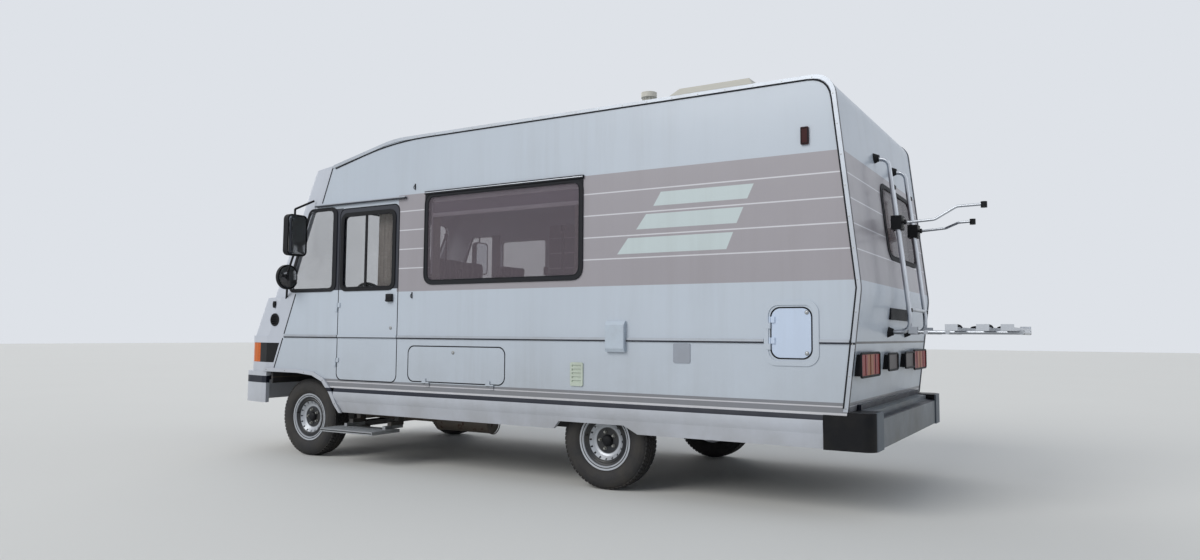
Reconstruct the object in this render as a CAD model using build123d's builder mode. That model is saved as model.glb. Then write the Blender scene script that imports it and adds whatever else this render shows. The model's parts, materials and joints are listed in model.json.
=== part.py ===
from build123d import *
import math
import os

os.makedirs("parts", exist_ok=True)

# Driving dimensions, in millimetres. X points ahead, Y to the left and Z up. The origin is on
# the ground under the middle of the overall box.
front_overhang = 920.0
wheelbase = 2923.0
rear_overhang = 2507.0
body_width = 2150.0
wall = 32.0
roof_z = 2590.0
roof_front_z = 2440.0
roof_knee_ahead = -1010.0
wall_bottom_z = 590.0
belt_z = 1010.0
cowl_bottom_z = 700.0
floor_thickness = 50.0
wheel_inset = 170.0
running_gap = 0.3
hinge_stand_off = 8.0
hinge_r = 6.0
hinge_leaf = 30.0
hinge_length = 36.0
door_gap = 9.0

overall_length = front_overhang + wheelbase + rear_overhang
front_axle_x = overall_length / 2 - front_overhang
rear_axle_x = front_axle_x - wheelbase
track = body_width - 2 * wheel_inset
half_width = body_width / 2
inner_half = half_width - wall
floor_z = wall_bottom_z + 10.0 + floor_thickness
sides = (1, -1)
side_names = {1: "left", -1: "right"}

# The side outline: the slanted seam behind the front cowl, and the rear wall, which is bent
seam_ahead = 245.0
seam_lean = 0.393
rear_kink_x = rear_axle_x - 1739.0
rear_kink_z = 1320.0
rear_lean_above = 0.1138
rear_lean_below = 0.118
rear_joint_z = 2455.0


def ahead(distance):
    """X of a point that lies this far ahead of the front axle."""
    return front_axle_x + distance


def behind(distance):
    """X of a point that lies this far behind the rear axle."""
    return rear_axle_x - distance


def seam_x(z):
    return ahead(seam_ahead + seam_lean * (belt_z - z))


def rear_x(z):
    if z > rear_kink_z:
        return rear_kink_x + rear_lean_above * (z - rear_kink_z)
    return rear_kink_x + rear_lean_below * (rear_kink_z - z)


def block(low, high):
    """A rectangular solid between two corners."""
    size = [b - a for a, b in zip(low, high)]
    middle = [(a + b) / 2 for a, b in zip(low, high)]
    with BuildPart() as solid:
        with Locations(tuple(middle)):
            Box(*size)
    return solid.part


def side_panel(outline, side, depth, proud=0.0, radius=0.0):
    """A flat panel in a side wall's plane: its outline in X and Z, its face proud of the wall."""
    with BuildPart() as panel:
        with BuildSketch(Plane.XZ.offset(-side * (half_width + proud))):
            with BuildLine():
                FilletPolyline(*outline, radius=radius, close=True)
            make_face()
        extrude(amount=side * depth)
    return panel.part


def rectangle(low_x, high_x, low_z, high_z, margin=0.0):
    """The corners of an upright rectangle, grown all round by the margin."""
    left = low_x - margin
    right = high_x + margin
    bottom = low_z - margin
    top = high_z + margin
    return [(left, bottom), (right, bottom), (right, top), (left, top)]


def upright_hinge(side, x, low_z, high_z, direction):
    """Half a door hinge: its barrel, and its leaf on the wall's face, ahead (1) or behind (-1)."""
    barrel_y = side * (half_width + hinge_stand_off)
    leaf_end = x + direction * hinge_leaf
    with BuildPart() as half:
        with BuildSketch(Plane.XY.offset(low_z)):
            with Locations((x, barrel_y)):
                Circle(hinge_r)
        extrude(amount=high_z - low_z)
        add(block((min(x, leaf_end), min(side * half_width, barrel_y), low_z),
                  (max(x, leaf_end), max(side * half_width, barrel_y), high_z)))
    return half.part


def flap_hinge(low_x, high_x, z, direction):
    """Half a hinge of a flap on the left wall: its leaf points up (1) or down (-1)."""
    barrel_y = half_width + hinge_stand_off
    leaf_end = z + direction * hinge_leaf
    with BuildPart() as half:
        with BuildSketch(Plane.YZ.offset(low_x)):
            with Locations((barrel_y, z)):
                Circle(hinge_r)
        extrude(amount=high_x - low_x)
        add(block((low_x, half_width, min(z, leaf_end)), (high_x, barrel_y, max(z, leaf_end))))
    return half.part


def body_prism(low_y, high_y, grow=0.0, reach=0.0, drop=0.0):
    """The living body's side outline, drawn out between two Y planes."""
    bottom = wall_bottom_z - drop
    slope = (roof_z - roof_front_z) / (seam_x(roof_front_z) - ahead(roof_knee_ahead))
    corners = [
        (seam_x(bottom) + reach, bottom),
        (seam_x(roof_front_z) + reach, roof_front_z - reach * slope),
        (ahead(roof_knee_ahead), roof_z),
        (rear_x(roof_z), roof_z),
        (rear_kink_x, rear_kink_z),
        (rear_x(bottom), bottom),
    ]
    rounding = [0, 0, 1200, 130, 300, 0]
    with BuildPart() as prism:
        with BuildSketch(Plane.XZ.offset(-high_y)):
            with BuildLine():
                FilletPolyline(*corners, radius=rounding, close=True)
            make_face()
            if grow:
                offset(amount=grow, kind=Kind.INTERSECTION)
        extrude(amount=high_y - low_y)
    return prism.part


def keep(name, part):
    """Labels a finished piece and writes it."""
    part.label = name
    export_step(part, "parts/" + name + ".step")


# Wheels: a steel rim and a light van tyre
wheel_r = 325.0
tyre_width = 185.0
rim_seat_r = 178.0
flange_r = 197.0
rim_half = 76.0
hub_offset = 24.0
pilot_r = 29.0
wheel_y = track / 2

# Across (outward from the wheel's middle plane) and radius of each corner of the tyre
tyre_half_section = [
    (66.5, rim_seat_r),
    (66.5, 199.0),
    (84.0, 212.0),
    (tyre_width / 2, 250.0),
    (88.0, 292.0),
    (74.0, 316.0),
    (56.0, wheel_r),
]
# Across and radius of the rim's section, round the barrel and the deep bowl of the disc
rim_section = [
    (-rim_half, flange_r), (-70.0, flange_r), (-67.0, rim_seat_r), (67.0, rim_seat_r),
    (70.0, flange_r), (rim_half, flange_r), (73.0, 171.0), (63.0, 164.0), (60.0, 152.0),
    (63.0, 146.0), (61.0, 138.0), (36.0, 106.0), (31.0, 92.0), (31.0, pilot_r + running_gap),
    (hub_offset, pilot_r + running_gap), (hub_offset, 95.0), (29.0, 110.0),
    (53.0, 141.0), (50.0, 164.0), (28.0, 164.0), (-73.0, 171.0),
]
vent_count = 16
vent_hole_r = 7.0
vent_ring_r = 124.0


def wheel_section(points, x, side):
    """A closed profile of across and radius, spun about a wheel's own axis."""
    with BuildPart() as ring:
        with BuildSketch(Plane.YZ.offset(x)):
            Polygon(*[(side * (wheel_y + a), wheel_r + r) for a, r in points], align=None)
        revolve(axis=Axis((x, 0, wheel_r), (0, 1, 0)))
    return ring.part


def pierced_rim(x, side):
    """A steel rim with a ring of vent holes through the slope of its bowl."""
    with BuildPart() as rim:
        add(wheel_section(rim_section, x, side))
        for index in range(vent_count):
            angle = 2 * math.pi * index / vent_count
            hole_x = x + vent_ring_r * math.cos(angle)
            hole_z = wheel_r + vent_ring_r * math.sin(angle)
            with BuildSketch(Plane(origin=(hole_x, side * (wheel_y + rim_half), hole_z), z_dir=(0, side, 0))):
                Circle(vent_hole_r)
            extrude(amount=-60, mode=Mode.SUBTRACT)
    return rim.part


axle_stations = (("front", front_axle_x), ("rear", rear_axle_x))
tyre_section = tyre_half_section + [(-a, r) for a, r in reversed(tyre_half_section)]
for axle_name, axle_x in axle_stations:
    for side in sides:
        suffix = axle_name + "_" + side_names[side]
        keep("tyre_" + suffix, wheel_section(tyre_section, axle_x, side))
        keep("rim_" + suffix, pierced_rim(axle_x, side))

# Front knuckles: hub, upright and strut, which turn about one leaning kingpin axis
ball_y = wheel_y - 60.0
ball_z = 225.0
strut_top_y = wheel_y - 255.0
strut_top_z = 935.0
strut_r = 24.0
spring_r = 55.0
ball_pin_r = 12.0
arm_thickness = 25.0
brake_r = 125.0
hub_r = 55.0
hub_root_y = wheel_y - 105.0
brake_inner_y = wheel_y - 20.0
brake_outer_y = wheel_y - 4.0
upright_ys = (wheel_y - 115.0, wheel_y - 70.0)
tie_arm_ys = (wheel_y - 113.0, wheel_y - 93.0)


def kingpin_point(side, z):
    lean = (strut_top_y - ball_y) / (strut_top_z - ball_z)
    return (front_axle_x, side * (ball_y + lean * (z - ball_z)), z)


def rod(start, end, radius):
    """A round bar between two points."""
    with BuildPart() as bar:
        direction = Vector(*end) - Vector(*start)
        with BuildSketch(Plane(origin=start, z_dir=direction)):
            Circle(radius)
        extrude(amount=direction.length)
    return bar.part


def bent_tube(points, radius, bend):
    """A round tube along straight runs joined by bends."""
    with BuildPart() as tube:
        with BuildLine() as route:
            FilletPolyline(*points, radius=bend)
        with BuildSketch(Plane(origin=route.line @ 0, z_dir=route.line % 0)):
            Circle(radius)
        sweep(path=route.line)
    return tube.part


hub_face_y = wheel_y + hub_offset - running_gap
for side in sides:
    with BuildPart() as knuckle:
        add(rod((front_axle_x, side * hub_root_y, wheel_r), (front_axle_x, side * hub_face_y, wheel_r), hub_r))
        add(rod((front_axle_x, side * brake_inner_y, wheel_r), (front_axle_x, side * brake_outer_y, wheel_r), brake_r))
        add(rod((front_axle_x, side * hub_face_y, wheel_r),
                (front_axle_x, side * (hub_face_y + 20), wheel_r), pilot_r))
        low_y, high_y = sorted(side * y for y in upright_ys)
        add(block((front_axle_x - 35, low_y, ball_z + 8), (front_axle_x + 35, high_y, 450)))
        low_y, high_y = sorted(side * y for y in tie_arm_ys)
        add(block((front_axle_x - 140, low_y, wheel_r - 20), (front_axle_x, high_y, wheel_r + 5)))
        add(rod(kingpin_point(side, ball_z - arm_thickness + 3), kingpin_point(side, ball_z + 30), ball_pin_r))
        add(rod(kingpin_point(side, 400), kingpin_point(side, strut_top_z), strut_r))
        add(rod(kingpin_point(side, 700), kingpin_point(side, 900), spring_r))
    keep("knuckle_" + side_names[side], knuckle.part)

# Chassis: two rails with cross members, the engine mounts and the lower arms
rail_y = 500.0
rail_width = 60.0
rail_height = 120.0
rail_top_z = floor_z - floor_thickness
rail_bottom_z = rail_top_z - rail_height
rail_front_ahead = 640.0
rail_rear_ahead = -(wheelbase + 1507.0)
engine_half = 360.0
cross_members_ahead = (610.0, -700.0, -1500.0, -2350.0, -(wheelbase + 637.0), -(wheelbase + 1477.0))
subframe_z = ball_z - arm_thickness
eye_thickness = 20.0
eye_r = 15.0
eye_z = rail_bottom_z + rail_height / 2
jack_ahead = -1000.0
jack_half = rail_width / 2 - 3.0
jack_pad_height = 8.0
hitch_spacing_y = 120.0
hitch_spacing_z = 50.0
hitch_r = 6.5
hitch_z = rail_top_z - 50.0

with BuildPart() as chassis:
    for side in sides:
        low_y = side * rail_y - rail_width / 2
        add(block((ahead(rail_rear_ahead), low_y, rail_bottom_z),
                  (ahead(rail_front_ahead), low_y + rail_width, rail_top_z)))
        with BuildSketch(Plane.XY.offset(subframe_z)) as arm_sketch:
            with Locations((front_axle_x, side * ball_y)):
                Circle(30)
            Polygon((front_axle_x - 30, side * ball_y), (front_axle_x + 30, side * ball_y),
                    (front_axle_x + 150, side * 420), (front_axle_x - 150, side * 420), align=None)
        extrude(amount=arm_thickness)
        add(block((front_axle_x - 60, side * rail_y - 30, subframe_z),
                  (front_axle_x + 60, side * rail_y + 30, rail_bottom_z)))
        add(block((ahead(340), min(side * engine_half, side * 480), rail_bottom_z + 20),
                  (ahead(420), max(side * engine_half, side * 480), rail_top_z - 20)))
    for station in cross_members_ahead:
        add(block((ahead(station) - 30, -rail_y, rail_bottom_z + 20),
                  (ahead(station) + 30, rail_y, rail_top_z)))
    add(block((front_axle_x - 60, -rail_y, subframe_z), (front_axle_x + 60, rail_y, subframe_z + 45)))
    for side in sides:
        bore_length = 3 * arm_thickness
        start = kingpin_point(side, subframe_z - arm_thickness)
        bore = rod(start, kingpin_point(side, subframe_z + 2 * arm_thickness), ball_pin_r + running_gap)
        add(bore, mode=Mode.SUBTRACT)
    for tip_x, root_x in ((ahead(rail_front_ahead + 60), ahead(rail_front_ahead) - 5),
                          (ahead(rail_rear_ahead - 60), ahead(rail_rear_ahead) + 5)):
        add(block((min(tip_x, root_x), rail_y - rail_width / 2, eye_z - eye_thickness / 2),
                  (max(tip_x, root_x), rail_y + rail_width / 2, eye_z + eye_thickness / 2)))
        eye_x = tip_x - math.copysign(rail_width / 2, tip_x)
        add(rod((eye_x, rail_y, eye_z - 40), (eye_x, rail_y, eye_z + 40), eye_r), mode=Mode.SUBTRACT)
    for side in sides:
        add(block((ahead(jack_ahead) - 45, side * rail_y - jack_half, rail_bottom_z - jack_pad_height),
                  (ahead(jack_ahead) + 45, side * rail_y + jack_half, rail_bottom_z)))
    for y in (-hitch_spacing_y / 2, hitch_spacing_y / 2):
        for z in (-hitch_spacing_z / 2, hitch_spacing_z / 2):
            add(rod((ahead(rail_rear_ahead) - 10, y, hitch_z + z), (ahead(rail_rear_ahead) + 80, y, hitch_z + z), hitch_r),
                mode=Mode.SUBTRACT)
keep("chassis_frame", chassis.part)

# Rear axle: a beam with drums, on leaf springs under the rails
drum_face_y = wheel_y - 25.0
spring_half_length = 600.0
spring_seat_z = wheel_r + 32.0
with BuildPart() as rear_axle:
    add(rod((rear_axle_x, -hub_face_y, wheel_r), (rear_axle_x, hub_face_y, wheel_r), 32))
    for side in sides:
        add(rod((rear_axle_x, side * hub_root_y, wheel_r), (rear_axle_x, side * drum_face_y, wheel_r), brake_r))
        add(rod((rear_axle_x, side * drum_face_y, wheel_r), (rear_axle_x, side * hub_face_y, wheel_r), hub_r))
        add(rod((rear_axle_x, side * hub_face_y, wheel_r),
                (rear_axle_x, side * (hub_face_y + 20), wheel_r), pilot_r))
        with BuildSketch(Plane.XZ.offset(-side * rail_y - 30)):
            with BuildLine():
                ThreePointArc((rear_axle_x - spring_half_length, rail_bottom_z - 35),
                              (rear_axle_x, spring_seat_z - 10),
                              (rear_axle_x + spring_half_length, rail_bottom_z - 35))
                Line((rear_axle_x + spring_half_length, rail_bottom_z - 35),
                     (rear_axle_x + spring_half_length, rail_bottom_z))
                Line((rear_axle_x + spring_half_length, rail_bottom_z),
                     (rear_axle_x + spring_half_length - 40, rail_bottom_z))
                ThreePointArc((rear_axle_x + spring_half_length - 40, rail_bottom_z),
                              (rear_axle_x, spring_seat_z + 20),
                              (rear_axle_x - spring_half_length + 40, rail_bottom_z))
                Line((rear_axle_x - spring_half_length + 40, rail_bottom_z),
                     (rear_axle_x - spring_half_length, rail_bottom_z))
                Line((rear_axle_x - spring_half_length, rail_bottom_z),
                     (rear_axle_x - spring_half_length, rail_bottom_z - 35))
            make_face()
        extrude(amount=60)
keep("rear_axle", rear_axle.part)

# Nose outlines: one rounded plan shape serves the cowl, the windscreen and the bumper
nose_corner_r = 174.0
nose_corner_y = half_width - 225.0
nose_taper = 350.0
nose_bulge = 40.0
nose_lean = 0.457
cowl_shell = 30.0
lamp_front_ahead = front_overhang - 105.0
bonnet_front_ahead = front_overhang - 128.0
ledge_z = 1345.0
ledge_depth = 91.0
header_z = 2207.0
header_ahead = -52.0
header_top_z = 2433.0


def nose_prism(front_x, back_x, low_z, high_z, lean=0.0, shrink=0.0, half=half_width):
    """A round-cornered nose in plan, drawn up from one height to another, leaning back."""
    taper_x = front_x - nose_taper
    centre_x = front_x - nose_corner_r
    front_x = front_x - shrink
    half = half - shrink
    corner_r = nose_corner_r - shrink
    run = centre_x - taper_x
    rise = half - nose_corner_y
    distance = math.hypot(run, rise)
    tangent = math.sqrt(distance ** 2 - corner_r ** 2)
    angle = math.asin(corner_r / distance) - math.atan2(rise, run)
    touch_x = taper_x + tangent * math.cos(angle)
    touch_y = half + tangent * math.sin(angle)
    half_way = math.atan2(touch_y - nose_corner_y, touch_x - centre_x) / 2
    mid_x = centre_x + corner_r * math.cos(half_way)
    mid_y = nose_corner_y + corner_r * math.sin(half_way)
    with BuildPart() as prism:
        with BuildSketch(Plane.XY.offset(low_z)):
            with BuildLine():
                Polyline((touch_x, touch_y), (taper_x, half), (back_x, half),
                         (back_x, -half), (taper_x, -half), (touch_x, -touch_y))
                ThreePointArc((touch_x, -touch_y), (mid_x, -mid_y), (front_x, -nose_corner_y))
                ThreePointArc((front_x, -nose_corner_y), (front_x + nose_bulge, 0), (front_x, nose_corner_y))
                ThreePointArc((front_x, nose_corner_y), (mid_x, mid_y), (touch_x, touch_y))
            make_face()
        extrude(amount=(high_z - low_z) * math.hypot(1, lean), dir=(-lean, 0, 1))
    return prism.part


def cowl_prisms(shrink, bottom_z, below_ledge=0.0):
    """The three stacked stretches of the nose: lamp band, bonnet and windscreen."""
    back_x = ahead(-900)
    screen_front = bonnet_front_ahead - nose_lean * (ledge_z - belt_z) - ledge_depth
    screen_low = ledge_z - below_ledge
    screen_low_front = ahead(screen_front + nose_lean * below_ledge)
    with BuildPart() as stack:
        add(nose_prism(ahead(lamp_front_ahead), back_x, bottom_z, belt_z - below_ledge, shrink=shrink))
        add(nose_prism(ahead(bonnet_front_ahead + nose_lean * below_ledge), back_x,
                       belt_z - below_ledge, screen_low, lean=nose_lean, shrink=shrink))
        add(nose_prism(screen_low_front, back_x, screen_low, roof_z, lean=nose_lean, shrink=shrink))
    return stack.part


def cowl_side_mask(inset, reach):
    """What the side view leaves of the nose: ahead of the seam and under the header's slope."""
    header_foot = ahead(lamp_front_ahead + 200)
    outline = [
        (seam_x(cowl_bottom_z - 300) - reach, cowl_bottom_z - 300),
        (header_foot, cowl_bottom_z - 300),
        (header_foot, ledge_z),
        (ahead(154 + 300), header_z - 330 - inset),
        (ahead(154), header_z - inset * 1.35),
        (ahead(header_ahead), header_top_z - inset * 1.1),
        (seam_x(roof_front_z), roof_front_z - inset),
        (seam_x(roof_front_z) - reach, roof_front_z - inset),
    ]
    with BuildPart() as mask:
        with BuildSketch(Plane.XZ.offset(-half_width - 50)):
            Polygon(*outline, align=None)
        extrude(amount=2 * half_width + 100)
    return mask.part


# Windows and doors of the side walls: edges ahead of the front axle, and heights
quarter_outline = [(ahead(-345), 1405), (ahead(188), 1405), (ahead(-62), 2066), (ahead(-345), 2066)]
door_edges = (ahead(-1090), ahead(-414), 652.0, 2068.0)
door_glass_edges = (ahead(-1023), ahead(-462), 1408.0, 2000.0)
living_edges = (ahead(-2770), ahead(-1383), 1442.0, 2095.0)
kitchen_edges = (ahead(-3500), ahead(-2650), 1560.0, 2040.0)
locker_edges = (ahead(-2148), ahead(-1204), 668.0, 948.0)
service_edges = (behind(1461), behind(1203), 903.0, 1214.0)
service_frame_gap = 10.0
service_frame_margin = 38.0
service_frame_proud = 6.0
socket_edges = (ahead(-3139), ahead(-2994), 928.0, 1131.0)
fuse_edges = (ahead(-3602), ahead(-3484), 866.0, 989.0)
heater_edges = (ahead(-2809), ahead(-2708), 692.0, 852.0)
fridge_vents = ((ahead(-3480), ahead(-3040), 1230.0, 1430.0), (ahead(-3480), ahead(-3040), 780.0, 960.0))
entrance_edges = (ahead(-2180), ahead(-1560), 652.0, 2380.0)
driver_hinges = [(door_edges[1], 800.0), (door_edges[1], 1250.0)]
service_hinges = [(service_edges[1], 995.0), (service_edges[1], 1120.0)]
entrance_hinges = [(entrance_edges[1], 800.0), (entrance_edges[1], 1500.0), (entrance_edges[1], 2200.0)]
locker_hinges = [ahead(-2014), ahead(-1399)]
window_corner = 80.0
frame_width = 28.0
glass_thickness = 6.0
glass_recess = 6.0

# Front wheel arch: the opening's edge behind the wheel, as X ahead of the axle and Z
arch_edge = [(-473, 391), (-410, 456), (-347, 551), (-260, 638), (-141, 684), (40, cowl_bottom_z)]
arch_front_ahead = 470.0


def arch_cut(side):
    outline = [(ahead(x), z) for x, z in arch_edge]
    outline += [(ahead(arch_front_ahead), cowl_bottom_z), (ahead(arch_front_ahead), 391)]
    return side_panel(outline, side, 4 * wall, proud=wall)


def service_frame():
    """The flat frame that lies on the wall round the service door."""
    outer = rectangle(*service_edges, margin=service_frame_margin)
    inner = rectangle(*service_edges, margin=service_frame_gap)
    with BuildPart() as frame:
        add(side_panel(outer, 1, service_frame_proud + 1, proud=service_frame_proud, radius=75))
        add(side_panel(inner, 1, service_frame_proud + 2, proud=service_frame_proud, radius=60), mode=Mode.SUBTRACT)
    return frame.part


quarter_outline_cut = {side: side_panel(quarter_outline, side, 5 * wall, proud=wall, radius=40) for side in sides}

with BuildPart() as left_wall:
    add(body_prism(inner_half, half_width))
    add(arch_cut(1), mode=Mode.SUBTRACT)
    add(block((ahead(40), inner_half - 5, 300), (ahead(900), half_width + 5, cowl_bottom_z)), mode=Mode.SUBTRACT)
    add(quarter_outline_cut[1], mode=Mode.SUBTRACT)
    add(side_panel(rectangle(*door_edges), 1, 3 * wall, proud=wall, radius=60), mode=Mode.SUBTRACT)
    for edges in (living_edges, locker_edges, service_edges):
        add(side_panel(rectangle(*edges), 1, 3 * wall, proud=wall, radius=60), mode=Mode.SUBTRACT)
    add(service_frame())
    for x, low_z in driver_hinges + service_hinges:
        add(upright_hinge(1, x, low_z - hinge_length, low_z - running_gap, 1))
    for low_x in locker_hinges:
        add(flap_hinge(low_x - hinge_length, low_x - running_gap, locker_edges[2], -1))
keep("left_wall", left_wall.part)

with BuildPart() as right_wall:
    add(body_prism(-half_width, -inner_half))
    add(arch_cut(-1), mode=Mode.SUBTRACT)
    add(block((ahead(40), -half_width - 5, 300), (ahead(900), 5 - inner_half, cowl_bottom_z)), mode=Mode.SUBTRACT)
    add(quarter_outline_cut[-1], mode=Mode.SUBTRACT)
    add(side_panel(rectangle(*door_glass_edges), -1, 3 * wall, proud=wall, radius=40), mode=Mode.SUBTRACT)
    for edges in (kitchen_edges, entrance_edges):
        add(side_panel(rectangle(*edges), -1, 3 * wall, proud=wall, radius=60), mode=Mode.SUBTRACT)
    for x, low_z in entrance_hinges:
        add(upright_hinge(-1, x, low_z - hinge_length, low_z - running_gap, 1))
keep("right_wall", right_wall.part)

# Roof and rear wall: one bent sandwich panel each, between the side walls
rear_window_edges = (-740.0, 170.0, 1580.0, 2050.0)
hatch_edges = (ahead(-3900), ahead(-3400), 330.0, 830.0)
chimney_place = (ahead(-3180), 840.0)
rear_corner_x = rear_kink_x + 300.0
panel_ring = body_prism(-inner_half, inner_half)
panel_hollow = body_prism(-inner_half - 5, inner_half + 5, grow=-wall, reach=300, drop=300)
rear_zone = block((rear_kink_x - 50, -half_width, 300), (rear_corner_x, half_width, rear_joint_z))



def rear_window_cut(margin):
    """The rear window's rounded opening, drawn through the rear wall and grown by the margin."""
    low_y, high_y, low_z, high_z = rear_window_edges
    with BuildPart() as cutter:
        with BuildSketch(Plane.YZ.offset(rear_kink_x - 60)):
            with Locations(((low_y + high_y) / 2, (low_z + high_z) / 2)):
                RectangleRounded(high_y - low_y + 2 * margin, high_z - low_z + 2 * margin, window_corner + margin)
        extrude(amount=250)
    return cutter.part


with BuildPart() as roof:
    add(panel_ring)
    add(panel_hollow, mode=Mode.SUBTRACT)
    add(rear_zone, mode=Mode.SUBTRACT)
    add(block((hatch_edges[0], hatch_edges[2], roof_z - 100), (hatch_edges[1], hatch_edges[3], roof_z + 100)),
        mode=Mode.SUBTRACT)
keep("roof", roof.part)

with BuildPart() as rear_wall:
    add(panel_ring)
    add(panel_hollow, mode=Mode.SUBTRACT)
    add(rear_zone, mode=Mode.INTERSECT)
    add(rear_window_cut(0.0), mode=Mode.SUBTRACT)
keep("rear_wall", rear_wall.part)

# Front cowl: a moulded shell with the windscreen, quarter windows, lamps and bonnet cut in it
screen_half_width = half_width - 145.0
screen_low_z = 1400.0
screen_high_z = 2185.0
bonnet_half_width = half_width - 515.0
bonnet_gap = 10.0
bonnet_low_z = 1040.0
bonnet_high_z = 1315.0
lamp_low_z = 780.0
lamp_high_z = 950.0
lamp_inner_y = half_width - 515.0
lamp_turn_y = half_width - 140.0
lamp_post = 28.0
lamp_depth = 40.0
amber_rear_ahead = 626.0


def leaning_window(half, low_z, high_z, front_ahead_low, radius, margin=0.0):
    """A rounded cutter square to the leaning nose."""
    direction = Vector(-nose_lean, 0, 1).normalized()
    length = (high_z - low_z) * math.hypot(1, nose_lean) + 2 * margin
    middle_z = (low_z + high_z) / 2
    middle_x = ahead(front_ahead_low - nose_lean * (middle_z - low_z))
    plane = Plane(origin=(middle_x, 0, middle_z), x_dir=(0, 1, 0), z_dir=Vector(1, 0, nose_lean).normalized())
    with BuildPart() as cutter:
        with BuildSketch(plane):
            RectangleRounded(2 * (half + margin), length, radius + margin)
        extrude(amount=120, both=True)
    return cutter.part


screen_front_low = bonnet_front_ahead - nose_lean * (screen_low_z - belt_z) - ledge_depth
bonnet_front_low = bonnet_front_ahead - nose_lean * (bonnet_low_z - belt_z)

with BuildPart() as cowl_outer:
    add(cowl_prisms(0.0, cowl_bottom_z))
    add(cowl_side_mask(0.0, 0.0), mode=Mode.INTERSECT)
with BuildPart() as cowl_inner:
    add(cowl_prisms(cowl_shell, cowl_bottom_z - 100, below_ledge=cowl_shell))
    add(cowl_side_mask(cowl_shell, 400.0), mode=Mode.INTERSECT)

bonnet_hinge_ys = (-400.0, 364.0)
bonnet_edge_x = ahead(bonnet_front_ahead - nose_lean * (bonnet_high_z - belt_z))
hinge_up_slope = -bonnet_gap / 2
hinge_out_of_slope = nose_bulge + 3.0
grille_half_width = lamp_inner_y - 40.0
grille_low_z = 792.0
grille_high_z = 938.0
grille_pitch = 22.0
slat_thickness = 9.0
nose_vent_place = (ahead(363), 1150.0)
nose_vent_r = 56.0
oval_place = (ahead(383), 1283.0)
oval_radii = (15.0, 30.0)


def lamp_recess(side, margin=0.0):
    """The lamps' opening round one front corner, slanted behind as the seam is."""
    low_z = lamp_low_z + margin
    high_z = lamp_high_z - margin
    post = lamp_post + margin
    outline = [(seam_x(low_z) + post, low_z), (ahead(front_overhang), low_z),
               (ahead(front_overhang), high_z), (seam_x(high_z) + post, high_z)]
    with BuildPart() as cutter:
        with BuildSketch(Plane.XZ.offset(-side * (half_width + 10))):
            Polygon(*outline, align=None)
        extrude(amount=side * (half_width + 10 - lamp_inner_y - margin))
    return cutter.part


def grille_box(margin=0.0):
    """The grille's opening between the headlamps."""
    half = grille_half_width - margin
    return block((ahead(440), -half, grille_low_z + margin), (ahead(front_overhang), half, grille_high_z - margin))


def nose_plug(side, place, radii, margin, proud, depth):
    """A round or oval plug through the cowl's side."""
    with BuildPart() as plug:
        with BuildSketch(Plane.XZ.offset(-side * (half_width + proud))):
            with Locations(place):
                Ellipse(radii[0] - margin, radii[1] - margin)
        extrude(amount=side * depth)
    return plug.part


def bonnet_hinge(low_y, high_y, direction):
    """Half a bonnet hinge, drawn up the slope and out of it: the cowl's leaf (1) or the bonnet's (-1)."""
    up_slope = Vector(-nose_lean, 0, 1).normalized()
    barrel = (hinge_up_slope, hinge_out_of_slope)
    outline = [(0, -5), (0, 5), (50, 3), (50, -24), (6, -24), (6, -5)]
    with BuildPart() as half:
        with BuildSketch(Plane(origin=(bonnet_edge_x, low_y, bonnet_high_z), x_dir=up_slope, z_dir=(0, 1, 0))):
            with Locations(barrel):
                Circle(hinge_r)
            Polygon(*[(barrel[0] + direction * u, barrel[1] + v) for u, v in outline], align=None)
        extrude(amount=high_y - low_y)
    return half.part


with BuildPart() as front_cowl:
    add(cowl_outer.part)
    add(cowl_inner.part, mode=Mode.SUBTRACT)
    add(leaning_window(screen_half_width, screen_low_z, screen_high_z, screen_front_low, 90), mode=Mode.SUBTRACT)
    add(leaning_window(bonnet_half_width, bonnet_low_z, bonnet_high_z, bonnet_front_low, 40), mode=Mode.SUBTRACT)
    add(grille_box(), mode=Mode.SUBTRACT)
    for side in sides:
        add(quarter_outline_cut[side], mode=Mode.SUBTRACT)
        add(lamp_recess(side), mode=Mode.SUBTRACT)
        add(nose_plug(side, nose_vent_place, (nose_vent_r, nose_vent_r), 0, 20, 80), mode=Mode.SUBTRACT)
        add(nose_plug(side, oval_place, oval_radii, 0, 20, 80), mode=Mode.SUBTRACT)
    for low_y in bonnet_hinge_ys:
        add(bonnet_hinge(low_y - hinge_length, low_y - running_gap, 1))
keep("front_cowl", front_cowl.part)

# Bonnet: the cowl's own skin inside its opening, less the gap
with BuildPart() as bonnet:
    add(cowl_outer.part)
    add(cowl_inner.part, mode=Mode.SUBTRACT)
    add(leaning_window(bonnet_half_width, bonnet_low_z, bonnet_high_z, bonnet_front_low, 40, margin=-bonnet_gap),
        mode=Mode.INTERSECT)
    for low_y in bonnet_hinge_ys:
        add(bonnet_hinge(low_y, low_y + hinge_length, -1))
keep("bonnet", bonnet.part)

# Cab glass: the bowed windscreen and the flat quarter windows, each in its opening
with BuildPart() as cab_glass:
    add(cowl_prisms(glass_recess, cowl_bottom_z))
    add(cowl_prisms(glass_recess + glass_thickness, cowl_bottom_z - 100), mode=Mode.SUBTRACT)
    add(leaning_window(screen_half_width, screen_low_z, screen_high_z, screen_front_low, 90), mode=Mode.INTERSECT)
    for side in sides:
        add(side_panel(quarter_outline, side, glass_thickness, proud=-glass_recess, radius=40))
    add(side_panel(rectangle(*door_glass_edges), -1, glass_thickness, proud=-glass_recess, radius=40))
keep("cab_glass", cab_glass.part)

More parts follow.
